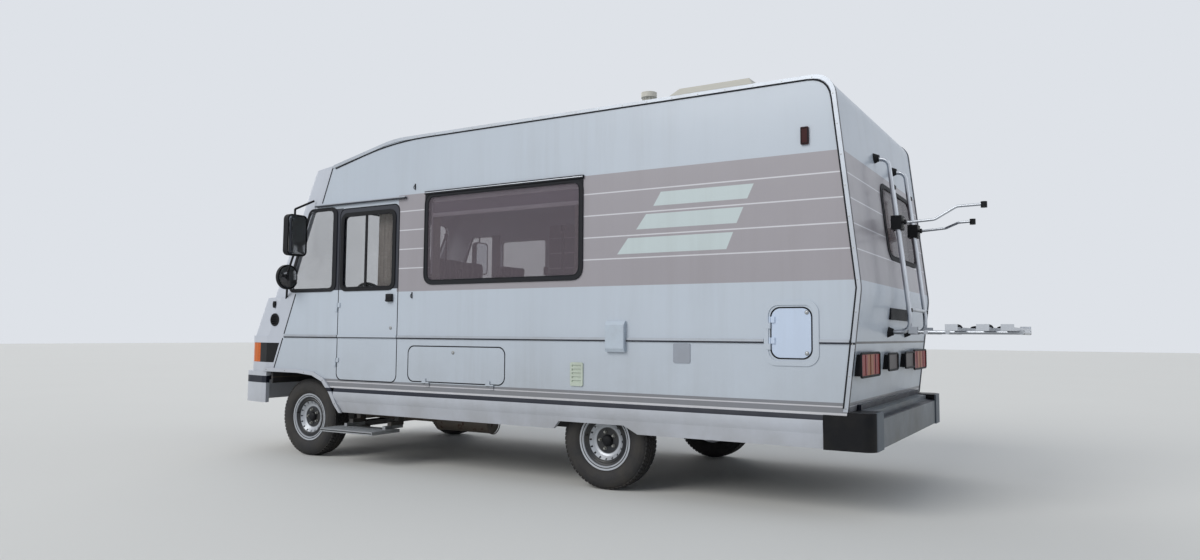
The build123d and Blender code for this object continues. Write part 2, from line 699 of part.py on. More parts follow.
# Living windows: tinted double panes in the side walls and the leaning rear wall
pane_thickness = 20.0
with BuildPart() as rear_pane:
    add(body_prism(-inner_half, inner_half, grow=2.0))
    add(body_prism(-inner_half - 5, inner_half + 5, grow=2.0 - pane_thickness, reach=300, drop=300),
        mode=Mode.SUBTRACT)
    add(rear_window_cut(0.0), mode=Mode.INTERSECT)
with BuildPart() as living_windows:
    add(side_panel(rectangle(*living_edges), 1, pane_thickness, proud=2, radius=60))
    add(side_panel(rectangle(*kitchen_edges), -1, pane_thickness, proud=2, radius=60))
    add(rear_pane.part)
keep("living_windows", living_windows.part)

# Window frames: rubber and aluminium surrounds that lie on the walls round each opening
frame_proud = 6.0


def side_frame(outer, inner, side, radius):
    """A flat surround on a side wall, from its outer outline to its inner one."""
    with BuildPart() as surround:
        add(side_panel(outer, side, frame_proud, proud=frame_proud, radius=radius + frame_width))
        add(side_panel(inner, side, frame_proud, proud=frame_proud, radius=radius), mode=Mode.SUBTRACT)
    return surround.part


quarter_frame = [(ahead(-345 - 40), 1405 - 24), (ahead(188 + 40), 1405 - 24), (ahead(-62 + 14), 2066 + 22),
                 (ahead(-345 - 40), 2066 + 22)]
with BuildPart() as rear_frame:
    add(body_prism(-inner_half, inner_half, grow=frame_proud))
    add(body_prism(-inner_half - 5, inner_half + 5, reach=300, drop=300), mode=Mode.SUBTRACT)
    add(rear_window_cut(frame_width), mode=Mode.INTERSECT)
    add(rear_window_cut(0.0), mode=Mode.SUBTRACT)
with BuildPart() as window_frames:
    add(side_frame(rectangle(*living_edges, margin=frame_width), rectangle(*living_edges), 1, 60))
    add(side_frame(rectangle(*kitchen_edges, margin=frame_width), rectangle(*kitchen_edges), -1, 60))
    add(side_frame(rectangle(*door_glass_edges, margin=frame_width), rectangle(*door_glass_edges), -1, 40))
    for side in sides:
        add(side_frame(quarter_frame, quarter_outline, side, 40))
    add(rear_frame.part)
keep("window_frames", window_frames.part)

# Skirts with the front wheel arches' flares: bulged mouldings under the side walls
skirt_bottom_z = 395.0
skirt_rear_ahead = -(wheelbase + 1517.0)
skirt_thickness = 25.0
flare_width = 50.0
flare_proud = 15.0
rear_cut = ((behind(307), 390), (behind(-363), 390), (behind(-313), 448), (behind(197), 448))


def mirrored(outline, side):
    return [(side * y, z) for y, z in outline]


with BuildPart() as skirts:
    for side in sides:
        with BuildSketch(Plane.YZ.offset(ahead(skirt_rear_ahead))):
            with BuildLine():
                Polyline(*mirrored([(half_width + 2, 480), (half_width - 10, skirt_bottom_z),
                                    (half_width - 35, skirt_bottom_z), (half_width - 30, wall_bottom_z),
                                    (half_width, wall_bottom_z)], side))
                ThreePointArc(*mirrored([(half_width, wall_bottom_z), (half_width + 12, 540),
                                         (half_width + 2, 480)], side))
            make_face()
        extrude(amount=-skirt_rear_ahead - 400)
        flare_outer = [(-500, 391), (-436, 470), (-375, 574), (-280, 666), (-150, 715), (60, 730), (472, 735)]
        flare_inner = [(472, 702), (40, 700), (-141, 684), (-260, 638), (-347, 551), (-410, 456), (-473, 391)]
        outline = [(ahead(x), z) for x, z in flare_outer + flare_inner]
        add(side_panel(outline, side, flare_proud, proud=flare_proud))
        add(side_panel(rear_cut, side, 4 * wall, proud=wall), mode=Mode.SUBTRACT)
        add(arch_cut(side), mode=Mode.SUBTRACT)
keep("skirts", skirts.part)

# Bumpers: a wrapped front one with a top ledge, and a rear one with end caps
bumper_low_z = 430.0
bumper_front_ahead = front_overhang - nose_bulge
bumper_half = half_width - 15.0
bumper_shell = 35.0
with BuildPart() as front_bumper:
    add(nose_prism(ahead(bumper_front_ahead), ahead(arch_front_ahead + 2), bumper_low_z, cowl_bottom_z, half=bumper_half))
    add(nose_prism(ahead(bumper_front_ahead), ahead(-200), bumper_low_z - 10, cowl_bottom_z - bumper_shell,
                   shrink=bumper_shell, half=bumper_half), mode=Mode.SUBTRACT)
    add(nose_prism(ahead(bumper_front_ahead), ahead(-200), cowl_bottom_z - bumper_shell, cowl_bottom_z + 10,
                   shrink=120, half=bumper_half), mode=Mode.SUBTRACT)
keep("front_bumper", front_bumper.part)

# The rear ledge is stepped, from the wall's foot down to its upright face
rear_cap_top_z = 608.0
rear_bumper_low_z = 391.0
rear_face_x = behind(1802)
cap_face_x = behind(1812)
cap_inner_y = half_width - 205.0
cap_outer_y = half_width + 5.0
cap_wall_x = behind(1659)
ledge_profile = [
    (behind(1661), 640), (behind(1683), 640), (behind(1683), 606), (behind(1739), 602),
    (behind(1739), 574), (behind(1796), 568), (rear_face_x, 562), (rear_face_x, 397),
    (behind(1796), rear_bumper_low_z), (behind(1777), rear_bumper_low_z), (behind(1777), 530),
    (behind(1717), 560), (behind(1661), 570),
]
with BuildPart() as rear_ledge:
    with BuildSketch(Plane.XZ.offset(cap_inner_y - running_gap)):
        Polygon(*ledge_profile, align=None)
    extrude(amount=-2 * (cap_inner_y - running_gap))
keep("rear_ledge", rear_ledge.part)


def cap_slice(side, points, radii, low_z, high_z):
    """A plan of X and distance from the middle line on one side, drawn up between two heights."""
    with BuildPart() as slab:
        with BuildSketch(Plane.XY.offset(low_z)):
            with BuildLine():
                FilletPolyline(*[(x, side * y) for x, y in points], radius=radii, close=True)
            make_face()
        extrude(amount=high_z - low_z)
    return slab.part


with BuildPart() as rear_bumper:
    for side in sides:
        shell = [(ahead(skirt_rear_ahead), cap_outer_y), (cap_face_x, cap_outer_y), (cap_face_x, cap_inner_y),
                 (cap_face_x + 30, cap_inner_y), (cap_face_x + 30, cap_outer_y - 30),
                 (ahead(skirt_rear_ahead), cap_outer_y - 30)]
        add(cap_slice(side, shell, [0, 70, 0, 0, 40, 0], rear_bumper_low_z, wall_bottom_z))
        lid = [(cap_wall_x, cap_outer_y), (cap_face_x, cap_outer_y), (cap_face_x, cap_inner_y), (cap_wall_x, cap_inner_y)]
        add(cap_slice(side, lid, [12, 70, 0, 0], rear_cap_top_z - 26, rear_cap_top_z))
keep("rear_bumper", rear_bumper.part)

# Floor: one sandwich slab with wheel boxes, strut towers and the bulkhead behind the engine
wheel_box_inner_y = wheel_y - 345.0
wheel_box_top_z = 760.0
box_skin = 20.0
front_box_reach = 425.0
rear_box_reach = 400.0
rear_box_inner_y = wheel_y - 135.0
bulkhead_ahead = 100.0
bulkhead_top_z = 1180.0
tower_y = strut_top_y + 30.0
tower_r = 95.0
tower_top_z = 965.0
slab_rear_x = rear_x(rail_top_z) + wall + 1.0
with BuildPart() as floor:
    add(block((slab_rear_x, -inner_half, rail_top_z), (ahead(bulkhead_ahead), inner_half, floor_z)))
    add(block((ahead(bulkhead_ahead) - 30, -inner_half + 5, floor_z), (ahead(bulkhead_ahead), inner_half - 5, bulkhead_top_z)))
    for side in sides:
        for centre_x, reach, inner_y in ((front_axle_x, front_box_reach, wheel_box_inner_y),
                                         (rear_axle_x, rear_box_reach, rear_box_inner_y)):
            low_y = min(side * inner_y, side * inner_half)
            add(block((centre_x - reach, low_y, rail_top_z),
                      (centre_x + reach, low_y + inner_half - inner_y, wheel_box_top_z)))
        add(rod((front_axle_x, side * tower_y, wheel_box_top_z - 10), (front_axle_x, side * tower_y, tower_top_z),
                tower_r + 8))
    for side in sides:
        for centre_x, reach, inner_y in ((front_axle_x, front_box_reach, wheel_box_inner_y),
                                         (rear_axle_x, rear_box_reach, rear_box_inner_y)):
            low_y = min(side * (inner_y + box_skin), side * (inner_half + 10))
            add(block((centre_x - reach + box_skin, low_y, rail_top_z - 10),
                      (centre_x + reach - box_skin, low_y + inner_half - inner_y - box_skin + 10,
                       wheel_box_top_z - box_skin)), mode=Mode.SUBTRACT)
        add(rod((front_axle_x, side * tower_y, wheel_box_top_z - 60),
                (front_axle_x, side * tower_y, tower_top_z - 15), tower_r), mode=Mode.SUBTRACT)
keep("floor", floor.part)

# Engine and gearbox: one plain block hung between the rails
with BuildPart() as engine:
    add(block((ahead(150), -engine_half, 240), (ahead(580), engine_half, 800)))
    chamfer(engine.edges().filter_by(Axis.X), 40)
keep("engine", engine.part)

# Tanks under the floor, and the exhaust with its silencer
with BuildPart() as tanks:
    add(block((ahead(-2290), -440, 330), (ahead(-1560), 440, rail_bottom_z + 20)))
    add(block((ahead(-1440), -440, 330), (ahead(-760), 0, rail_bottom_z + 20)))
    for low_x, high_x in ((-2230, -1620), (-1380, -820)):
        add(block((ahead(low_x), -470, rail_bottom_z + 20), (ahead(high_x), 0, rail_top_z)))
keep("tanks", tanks.part)

exhaust_y = 250.0
with BuildPart() as exhaust:
    add(rod((ahead(150), exhaust_y, 290), (ahead(-1250), exhaust_y, 290), 24))
    add(rod((ahead(-850), exhaust_y, 290), (ahead(-1400), exhaust_y, 290), 85))
keep("exhaust", exhaust.part)

# Driver's door: the wall's own thickness inside its gap, with the window cut, and its trim
door_outline = rectangle(*door_edges, margin=-door_gap)
belt_height = 26.0
belt_proud = 7.0
with BuildPart() as driver_door:
    add(side_panel(door_outline, 1, wall, radius=55))
    add(side_panel(rectangle(*door_glass_edges), 1, 3 * wall, proud=wall, radius=40), mode=Mode.SUBTRACT)
    add(side_panel(rectangle(door_edges[0] + door_gap, door_edges[1] - door_gap, belt_z - belt_height / 2,
                             belt_z + belt_height / 2), 1, belt_proud, proud=belt_proud))
    for x, low_z in driver_hinges:
        add(upright_hinge(1, x, low_z, low_z + hinge_length, -1))
keep("driver_door", driver_door.part)

door_divider_ahead = -723.0
with BuildPart() as driver_door_trim:
    add(side_panel(rectangle(ahead(door_divider_ahead) - 11, ahead(door_divider_ahead) + 11, 1400, 2008), 1, 3, proud=3))
    add(side_panel(rectangle(ahead(door_divider_ahead) - 11, ahead(door_divider_ahead) + 11, 1408.5, 1999.5), 1, 8.5,
                   proud=3))
    add(side_frame(rectangle(*door_glass_edges, margin=frame_width), rectangle(*door_glass_edges), 1, 40))
    add(side_panel(rectangle(ahead(-1036), ahead(-970), 1288, 1350), 1, 18, proud=18, radius=8))
keep("driver_door_trim", driver_door_trim.part)

with BuildPart() as driver_door_glass:
    add(side_panel(rectangle(*door_glass_edges), 1, glass_thickness, proud=-glass_recess, radius=40))
keep("driver_door_glass", driver_door_glass.part)

# Entrance door, locker flap and service door: panels of the wall's thickness in their gaps
entrance_glass_edges = (entrance_edges[0] + 140, entrance_edges[1] - 140, 1560.0, 2040.0)
with BuildPart() as entrance_door:
    add(side_panel(rectangle(*entrance_edges, margin=-door_gap), -1, wall, radius=55))
    add(side_panel(rectangle(*entrance_glass_edges, margin=22), -1, 4, proud=3, radius=62))
    add(side_panel(rectangle(*entrance_glass_edges), -1, 3 * wall, proud=wall, radius=40), mode=Mode.SUBTRACT)
    add(side_panel(rectangle(entrance_edges[0] + 40, entrance_edges[0] + 100, 1290, 1400), -1, 18, proud=18, radius=8))
    for x, low_z in entrance_hinges:
        add(upright_hinge(-1, x, low_z, low_z + hinge_length, -1))
keep("entrance_door", entrance_door.part)
with BuildPart() as entrance_door_glass:
    add(side_panel(rectangle(*entrance_glass_edges), -1, glass_thickness, proud=-glass_recess, radius=40))
keep("entrance_door_glass", entrance_door_glass.part)
with BuildPart() as locker_flap:
    add(side_panel(rectangle(*locker_edges, margin=-door_gap), 1, wall, radius=55))
    for low_x in locker_hinges:
        add(flap_hinge(low_x, low_x + hinge_length, locker_edges[2], 1))
keep("locker_flap", locker_flap.part)
with BuildPart() as service_door:
    add(side_panel(rectangle(*service_edges, margin=-door_gap), 1, wall, radius=55))
    for x, low_z in service_hinges:
        add(upright_hinge(1, x, low_z, low_z + hinge_length, -1))
keep("service_door", service_door.part)

# Trims: roof and rear edge strips, the belt line, and the drip rail over the driver's door
strip_width = 22.0
strip_proud = 4.0
trim_reach = 25.0
belt_runs = {
    1: ((rear_x(belt_z) + 30, service_edges[0] - 40), (service_edges[1] + 40, socket_edges[0] - 2),
        (socket_edges[1] + 2, door_edges[0]), (door_edges[1], ahead(236))),
    -1: ((rear_x(belt_z) + 30, entrance_edges[0]), (entrance_edges[1], ahead(236))),
}
with BuildPart() as body_trims:
    for side in sides:
        face_y = side * half_width
        proud_y = face_y + side * strip_proud
        back_y = face_y - side * trim_reach
        with BuildPart(mode=Mode.PRIVATE) as strip:
            add(body_prism(min(back_y, proud_y), max(back_y, proud_y), grow=strip_proud, reach=-strip_proud - 3))
            add(body_prism(min(back_y, face_y), max(back_y, face_y), reach=300, drop=300), mode=Mode.SUBTRACT)
            add(body_prism(min(back_y, proud_y) - 5, max(back_y, proud_y) + 5, grow=-strip_width, reach=300,
                           drop=300), mode=Mode.SUBTRACT)
            add(block((behind(1877), -half_width - 20, wall_bottom_z - 20),
                      (behind(1477), half_width + 20, rear_cap_top_z + 2)), mode=Mode.SUBTRACT)
        add(strip.part)
        for low_x, high_x in belt_runs[side]:
            add(side_panel(rectangle(low_x, high_x, belt_z - belt_height / 2, belt_z + belt_height / 2), side,
                           belt_proud, proud=belt_proud))
    add(side_panel(rectangle(ahead(-1159), ahead(-127), 2098, 2116), 1, 25, proud=25))
keep("body_trims", body_trims.part)


# Side fittings: the socket box, fuse lid and heater vent on the left, fridge vents on the right
def louvred_plate(edges, side, proud, pitch):
    """A vent cover that lies on a side wall, with a row of slots."""
    low_x, high_x, low_z, high_z = edges
    low_y, high_y = sorted((side * (half_width + 3), side * (half_width + proud + 5)))
    with BuildPart() as plate:
        add(side_panel(rectangle(*edges), side, proud, proud=proud, radius=12))
        slot_z = low_z + pitch
        while slot_z < high_z - pitch:
            add(block((low_x + 14, low_y, slot_z), (high_x - 14, high_y, slot_z + pitch * 0.5)), mode=Mode.SUBTRACT)
            slot_z += pitch
    return plate.part


with BuildPart() as side_fittings:
    low_x, high_x, low_z, high_z = socket_edges
    with BuildSketch(Plane.YZ.offset(low_x)):
        Polygon((half_width, low_z), (half_width, high_z), (half_width + 16, high_z), (half_width + 34, high_z - 26),
                (half_width + 34, low_z + 22), (half_width + 24, low_z), align=None)
    extrude(amount=high_x - low_x)
    fillet(side_fittings.edges().filter_by(Axis.Z).group_by(Axis.Y)[-1], 8)
    add(side_panel(rectangle(*fuse_edges), 1, 5, proud=5, radius=10))
    add(louvred_plate(heater_edges, 1, 9, 26))
    for edges in fridge_vents:
        add(louvred_plate(edges, -1, 14, 30))
keep("side_fittings", side_fittings.part)

# Nose fittings: headlamp glass, amber corners, their black housings, the vents and the grille
lamp_shell_outer = nose_prism(ahead(lamp_front_ahead), ahead(-900), lamp_low_z - 20, lamp_high_z + 20, shrink=4)
lamp_shell_inner = nose_prism(ahead(lamp_front_ahead), ahead(-900), lamp_low_z - 30, lamp_high_z + 30,
                              shrink=4 + lamp_depth)


def lamp_piece(side, low_x, high_x, low_y, high_y):
    """The share of one corner's lamps between two X and two Y distances."""
    near_y, far_y = sorted((side * low_y, side * high_y))
    with BuildPart() as piece:
        add(lamp_shell_outer)
        add(lamp_shell_inner, mode=Mode.SUBTRACT)
        add(lamp_recess(side, running_gap), mode=Mode.INTERSECT)
        add(block((low_x, near_y, lamp_low_z), (high_x, far_y, lamp_high_z)), mode=Mode.INTERSECT)
    return piece.part


lamp_end_x = ahead(front_overhang)
with BuildPart() as headlamps:
    for side in sides:
        add(lamp_piece(side, ahead(440), lamp_end_x, lamp_inner_y, lamp_turn_y - 1))
keep("headlamps", headlamps.part)
with BuildPart() as amber_lamps:
    for side in sides:
        add(lamp_piece(side, ahead(amber_rear_ahead), lamp_end_x, lamp_turn_y, half_width))
keep("amber_lamps", amber_lamps.part)


def louvred_plug(side, place, radius):
    """A round vent: a rim proud of the cowl, with slots across it."""
    with BuildPart() as vent:
        add(nose_plug(side, place, (radius, radius), running_gap, 5, 36))
        for step in range(-2, 3):
            half = math.sqrt((radius - 12) ** 2 - (16 * step) ** 2)
            low_y, high_y = sorted((side * (half_width - 14), side * (half_width + 10)))
            middle_z = place[1] + 16 * step
            add(block((place[0] - half, low_y, middle_z - 4.5), (place[0] + half, high_y, middle_z + 4.5)),
                mode=Mode.SUBTRACT)
    return vent.part


with BuildPart() as nose_fittings:
    for side in sides:
        add(lamp_piece(side, ahead(200), ahead(amber_rear_ahead - 1), lamp_turn_y, half_width))
        add(louvred_plug(side, nose_vent_place, nose_vent_r))
        add(nose_plug(side, oval_place, oval_radii, running_gap, 3, 34))
keep("nose_fittings", nose_fittings.part)

with BuildPart() as grille:
    with BuildPart(mode=Mode.PRIVATE) as grille_skin:
        add(lamp_shell_outer)
        add(lamp_shell_inner, mode=Mode.SUBTRACT)
        add(grille_box(running_gap), mode=Mode.INTERSECT)
    add(grille_skin.part)
    slot_z = grille_low_z + 14
    while slot_z + grille_pitch - slat_thickness < grille_high_z - 8:
        for low_y, high_y in ((-grille_half_width + 14, -175), (-167, -4), (4, 167), (175, grille_half_width - 14)):
            add(block((ahead(440), low_y, slot_z), (lamp_end_x, high_y, slot_z + grille_pitch - slat_thickness)),
                mode=Mode.SUBTRACT)
        slot_z += grille_pitch
keep("grille", grille.part)

with BuildPart() as red_lamps:
    lamp_back_x = rear_x(870) - 4
    for low_y, high_y, low_z, high_z in ((half_width - 523, half_width - 75, 812, 937),
                                         (75 - half_width, 523 - half_width, 812, 937),
                                         (20, 290, 830, 925), (-530, -240, 830, 925)):
        add(block((lamp_back_x - 30, low_y, low_z), (lamp_back_x + 40, high_y, high_z)))
    add(panel_ring, mode=Mode.SUBTRACT)
    for side in sides:
        add(side_panel(rectangle(behind(1451), behind(1403), 2177, 2283), side, 14, proud=14, radius=6))
keep("red_lamps", red_lamps.part)

# Roof: hatch frame, its lid, and the heater's chimney
hatch_wall = 20.0
hatch_rise = 70.0
lid_thickness = 40.0
hatch_low_x, hatch_high_x, hatch_low_y, hatch_high_y = hatch_edges
with BuildPart() as roof_vents:
    add(block((hatch_low_x - 30, hatch_low_y - 30, roof_z), (hatch_high_x + 30, hatch_high_y + 30, roof_z + hatch_rise)))
    add(block((hatch_low_x + 8, hatch_low_y + 8, roof_z - 10), (hatch_high_x - 8, hatch_high_y - 8, roof_z + 90)),
        mode=Mode.SUBTRACT)
    add(rod((chimney_place[0], chimney_place[1], roof_z), (chimney_place[0], chimney_place[1], roof_z + 90), 32))
    add(rod((chimney_place[0], chimney_place[1], roof_z + 90), (chimney_place[0], chimney_place[1], roof_z + 125), 55))
keep("roof_vents", roof_vents.part)

with BuildPart() as hatch_lid:
    with BuildSketch(Plane.XZ.offset(-hatch_high_y - 45)):
        Polygon((hatch_low_x - 45, roof_z + hatch_rise + running_gap), (hatch_high_x + 45, roof_z + hatch_rise + running_gap),
                (hatch_high_x - 30, roof_z + hatch_rise + lid_thickness),
                (hatch_low_x - 25, roof_z + hatch_rise + lid_thickness), align=None)
    extrude(amount=hatch_high_y - hatch_low_y + 90)
    add(block((hatch_low_x + 20, hatch_low_y + 20, roof_z + hatch_rise - 1),
              (hatch_high_x - 20, hatch_high_y - 20, roof_z + hatch_rise + lid_thickness - 14)), mode=Mode.SUBTRACT)
    add(rod((hatch_low_x - 45, hatch_low_y + 60, roof_z + hatch_rise), (hatch_low_x - 45, hatch_high_y - 60, roof_z + hatch_rise),
            hinge_r))
keep("hatch_lid", hatch_lid.part)

# Bicycle rack: two bent uprights off the rear wall, with a platform that folds up against them
tube_r = 14.0
thin_tube_r = 7.0
thin_tube_offset = 62.0
rack_ys = (240.0, -300.0)
rack_hinge_x = behind(1883)
rack_hinge_z = 1072.0
rack_pin_r = 6.0
rack_top_z = 2225.0
rack_out_x = behind(1845)
rack_top_x = behind(1727)
rack_clamp_z = (1742.0, 1832.0)
rack_straight_z = 1180.0
rack_end_x = -overall_length / 2
rack_span = (-660.0, 600.0)
channel_width = 70.0
channel_height = 20.0
channel_xs = (behind(2147), behind(2317), rack_end_x + 60)
flange_disc_r = 40.0
plate_place = (-394.0, 265.0, 1152.0, 1228.0)


def upright_x(z):
    """X of an upright's middle line on its long lean."""
    share = (z - rack_straight_z) / (rack_top_z - 15 - rack_straight_z)
    return rack_out_x + share * (rack_top_x - rack_out_x)


with BuildPart() as rack_frame:
    for y in rack_ys:
        add(bent_tube([(rear_x(rack_top_z) + 20, y, rack_top_z), (rack_top_x, y, rack_top_z - 15),
                       (rack_out_x, y, rack_straight_z), (rack_out_x, y, rack_hinge_z),
                       (rear_x(rack_hinge_z) + 20, y, rack_hinge_z)], tube_r, 55))
        add(block((rack_hinge_x - 10, y - 20, rack_hinge_z - 10), (rack_out_x + 6, y + 20, rack_hinge_z + 34)))
        add(block((rack_hinge_x - 15, y - 15, rack_hinge_z - 20), (rack_hinge_x + 18, y + 15, rack_hinge_z + 50)),
            mode=Mode.SUBTRACT)
        add(rod((rack_hinge_x, y - 18, rack_hinge_z), (rack_hinge_x, y + 18, rack_hinge_z), rack_pin_r))
        thin_y = y - thin_tube_offset
        add(rod((upright_x(1215), thin_y, 1215), (upright_x(2050), thin_y, 2050), thin_tube_r))
    add(rod((upright_x(1220), rack_ys[0], 1220), (upright_x(1220), rack_ys[1] - thin_tube_offset - 20, 1220), tube_r - 2))
    add(body_prism(-inner_half - 5, inner_half + 5, drop=300), mode=Mode.SUBTRACT)
keep("rack_frame", rack_frame.part)

# The holding arms come out of the clamps, each with a padded claw at its end
arm_r = 9.0
arm_routes = (
    [(upright_x(1790), 200, 1787), (behind(2000), 190, 1800), (behind(2130), 160, 1880), (behind(2290), 150, 1885)],
    [(upright_x(1790), -330, 1787), (behind(1990), -320, 1800), (behind(2080), -280, 1830), (behind(2170), -270, 1832)],
)
with BuildPart() as rack_arms:
    for route in arm_routes:
        add(bent_tube(route, arm_r, 45))
keep("rack_arms", rack_arms.part)

with BuildPart() as rack_fittings:
    for y in rack_ys:
        middle_x = upright_x(sum(rack_clamp_z) / 2)
        add(block((middle_x - 34, y - thin_tube_offset - 18, rack_clamp_z[0]), (middle_x + 34, y + 26, rack_clamp_z[1])))
        fillet(rack_fittings.edges().filter_by(Axis.Z).group_by(Axis.X)[0], 8)
        for z in (rack_top_z, rack_hinge_z):
            wall_x = rear_x(z)
            with BuildSketch(Plane.YZ.offset(wall_x + 12)) as foot:
                with Locations((y, z)):
                    Circle(flange_disc_r)
            with BuildSketch(Plane.YZ.offset(wall_x - 34)):
                with Locations((y, z)):
                    Circle(tube_r + 7)
            loft()
        for z in (1215, 2030):
            add(block((upright_x(z) - 12, y - thin_tube_offset - 14, z - 12), (upright_x(z) + 12, y, z + 12)))
    low_y, high_y, low_z, high_z = plate_place
    add(block((rear_x(low_z) - 16, low_y, low_z), (rear_x(low_z) + 30, high_y, high_z)))
    for route in arm_routes:
        x, y, z = route[-1]
        add(rod((x, y, z - 22), (x, y, z + 16), 19))
    add(body_prism(-inner_half - 5, inner_half + 5, drop=300), mode=Mode.SUBTRACT)
    add(rack_frame.part, mode=Mode.SUBTRACT)
    add(rack_arms.part, mode=Mode.SUBTRACT)
keep("rack_fittings", rack_fittings.part)

with BuildPart() as rack_platform:
    for y in rack_ys:
        add(rod((rack_hinge_x, y - 14, rack_hinge_z), (rack_hinge_x, y + 14, rack_hinge_z), tube_r))
        add(rod((rack_hinge_x - 4, y, rack_hinge_z), (rack_end_x + 4, y, rack_hinge_z), tube_r - 3))
    for x in (rack_hinge_x - 60, rack_hinge_x - 190, rack_end_x + tube_r):
        add(rod((x, rack_ys[0] + 13, rack_hinge_z), (x, rack_ys[1] - 13, rack_hinge_z), tube_r))
    channel_low_z = rack_hinge_z + tube_r - 6
    for x in channel_xs:
        low_x = x - channel_width / 2
        add(block((low_x, rack_span[0], channel_low_z),
                  (low_x + channel_width, rack_span[1], channel_low_z + channel_height)))
        add(block((low_x + 8, rack_span[0] - 5, channel_low_z + 7),
                  (low_x + channel_width - 8, rack_span[1] + 5, channel_low_z + channel_height + 5)),
            mode=Mode.SUBTRACT)
        for y in rack_span:
            add(block((low_x, y - 3, channel_low_z), (low_x + channel_width, y + 3, channel_low_z + 38)))
    for y in rack_ys:
        add(rod((rack_hinge_x, y - 25, rack_hinge_z), (rack_hinge_x, y + 25, rack_hinge_z), rack_pin_r + running_gap),
            mode=Mode.SUBTRACT)
keep("rack_platform", rack_platform.part)

# Mirrors on bent arms from the windscreen pillars, with a round one below each
mirror_ys = (half_width + 45.0, half_width + 245.0)
mirror_zs = (1680.0, 2025.0)
mirror_xs = (ahead(-70), ahead(0))
round_mirror_y = half_width + 90.0
round_mirror_z = 1510.0


def mirror_head(middle_y):
    """A rounded shell, open for the glass on its rear face."""
    width = mirror_ys[1] - mirror_ys[0]
    height = mirror_zs[1] - mirror_zs[0]
    middle = (middle_y, sum(mirror_zs) / 2)
    with BuildPart() as head:
        with BuildSketch(Plane.YZ.offset(mirror_xs[0])):
            with Locations(middle):
                RectangleRounded(width, height, 42)
        extrude(amount=mirror_xs[1] - mirror_xs[0])
        fillet(head.faces().sort_by(Axis.X)[-1].edges(), 24)
        with BuildSketch(Plane.YZ.offset(mirror_xs[0])):
            with Locations(middle):
                RectangleRounded(width - 22, height - 22, 34)
        extrude(amount=5, mode=Mode.SUBTRACT)
    return head.part


with BuildPart() as mirrors:
    for side in sides:
        middle_y = side * sum(mirror_ys) / 2
        round_y = side * round_mirror_y
        add(mirror_head(middle_y))
        add(rod((ahead(-30), middle_y, 2010), (ahead(-30), middle_y, 2075), 9))
        add(rod((ahead(-30), middle_y, 2075), (ahead(-85), side * (half_width - 4), 2160), 9))
        add(rod((ahead(-30), middle_y, 1690), (ahead(30), middle_y, 1560), 9))
        add(rod((ahead(30), middle_y, 1560), (ahead(262), side * (half_width - 30), 1300), 9))
        add(rod((ahead(95), round_y, round_mirror_z), (ahead(125), round_y, round_mirror_z), 105))
        add(rod((ahead(93), round_y, round_mirror_z), (ahead(98), round_y, round_mirror_z), 95), mode=Mode.SUBTRACT)
        add(rod((ahead(70), middle_y, round_mirror_z + 5), (ahead(110), round_y, round_mirror_z + 5), 9))
    add(cowl_outer.part, mode=Mode.SUBTRACT)
    for side in sides:
        add(body_prism(*sorted((side * inner_half, side * half_width))), mode=Mode.SUBTRACT)
keep("mirrors", mirrors.part)

# Cab: dashboard, steering wheel and two seats
steering_centre = Vector(ahead(-200), 460, 1320)
steering_axis = Vector(-1, 0, 0.55).normalized()
with BuildPart() as dashboard:
    add(block((ahead(80), 115 - half_width, bulkhead_top_z), (ahead(560), half_width - 115, 1300)))
    add(cowl_prisms(cowl_shell + 15, cowl_bottom_z), mode=Mode.INTERSECT)
    with BuildSketch(Plane.XZ.offset(-720)):
        Polygon((ahead(80), bulkhead_top_z), (ahead(-40), 1200), (ahead(-30), 1330), (ahead(150), 1370), (ahead(150), 1300),
                align=None)
    extrude(amount=520)
    add(rod(tuple(steering_centre - steering_axis * (85 + running_gap)),
            tuple(steering_centre - steering_axis * 260), 30))
keep("dashboard", dashboard.part)

with BuildPart() as steering_wheel:
    steering_plane = Plane(origin=steering_centre, x_dir=(0, 1, 0), z_dir=steering_axis)
    with BuildSketch(Plane(origin=steering_centre, x_dir=steering_axis, z_dir=(0, 1, 0))):
        with Locations((0, 190)):
            Circle(14)
    revolve(axis=Axis(steering_centre, steering_axis))
    with BuildSketch(steering_plane.offset(-12)):
        Circle(60)
        Rectangle(370, 36)
        with Locations((0, -95)):
            Rectangle(36, 190)
    extrude(amount=14)
    add(rod(tuple(steering_centre - steering_axis * 10), tuple(steering_centre - steering_axis * 85), 24))
keep("steering_wheel", steering_wheel.part)

with BuildPart() as seats:
    for y in (460, -460):
        add(block((ahead(-900), y - 200, floor_z), (ahead(-480), y + 200, 880)))
        add(block((ahead(-960), y - 250, 880), (ahead(-440), y + 250, 1010)))
        fillet(seats.edges().filter_by(Axis.Y).group_by(Axis.Z)[-1], 30)
        with BuildSketch(Plane.XZ.offset(-y - 240)):
            Polygon((ahead(-960), 1010), (ahead(-820), 1010), (ahead(-1000), 1700), (ahead(-1110), 1700), align=None)
        extrude(amount=480)
keep("seats", seats.part)

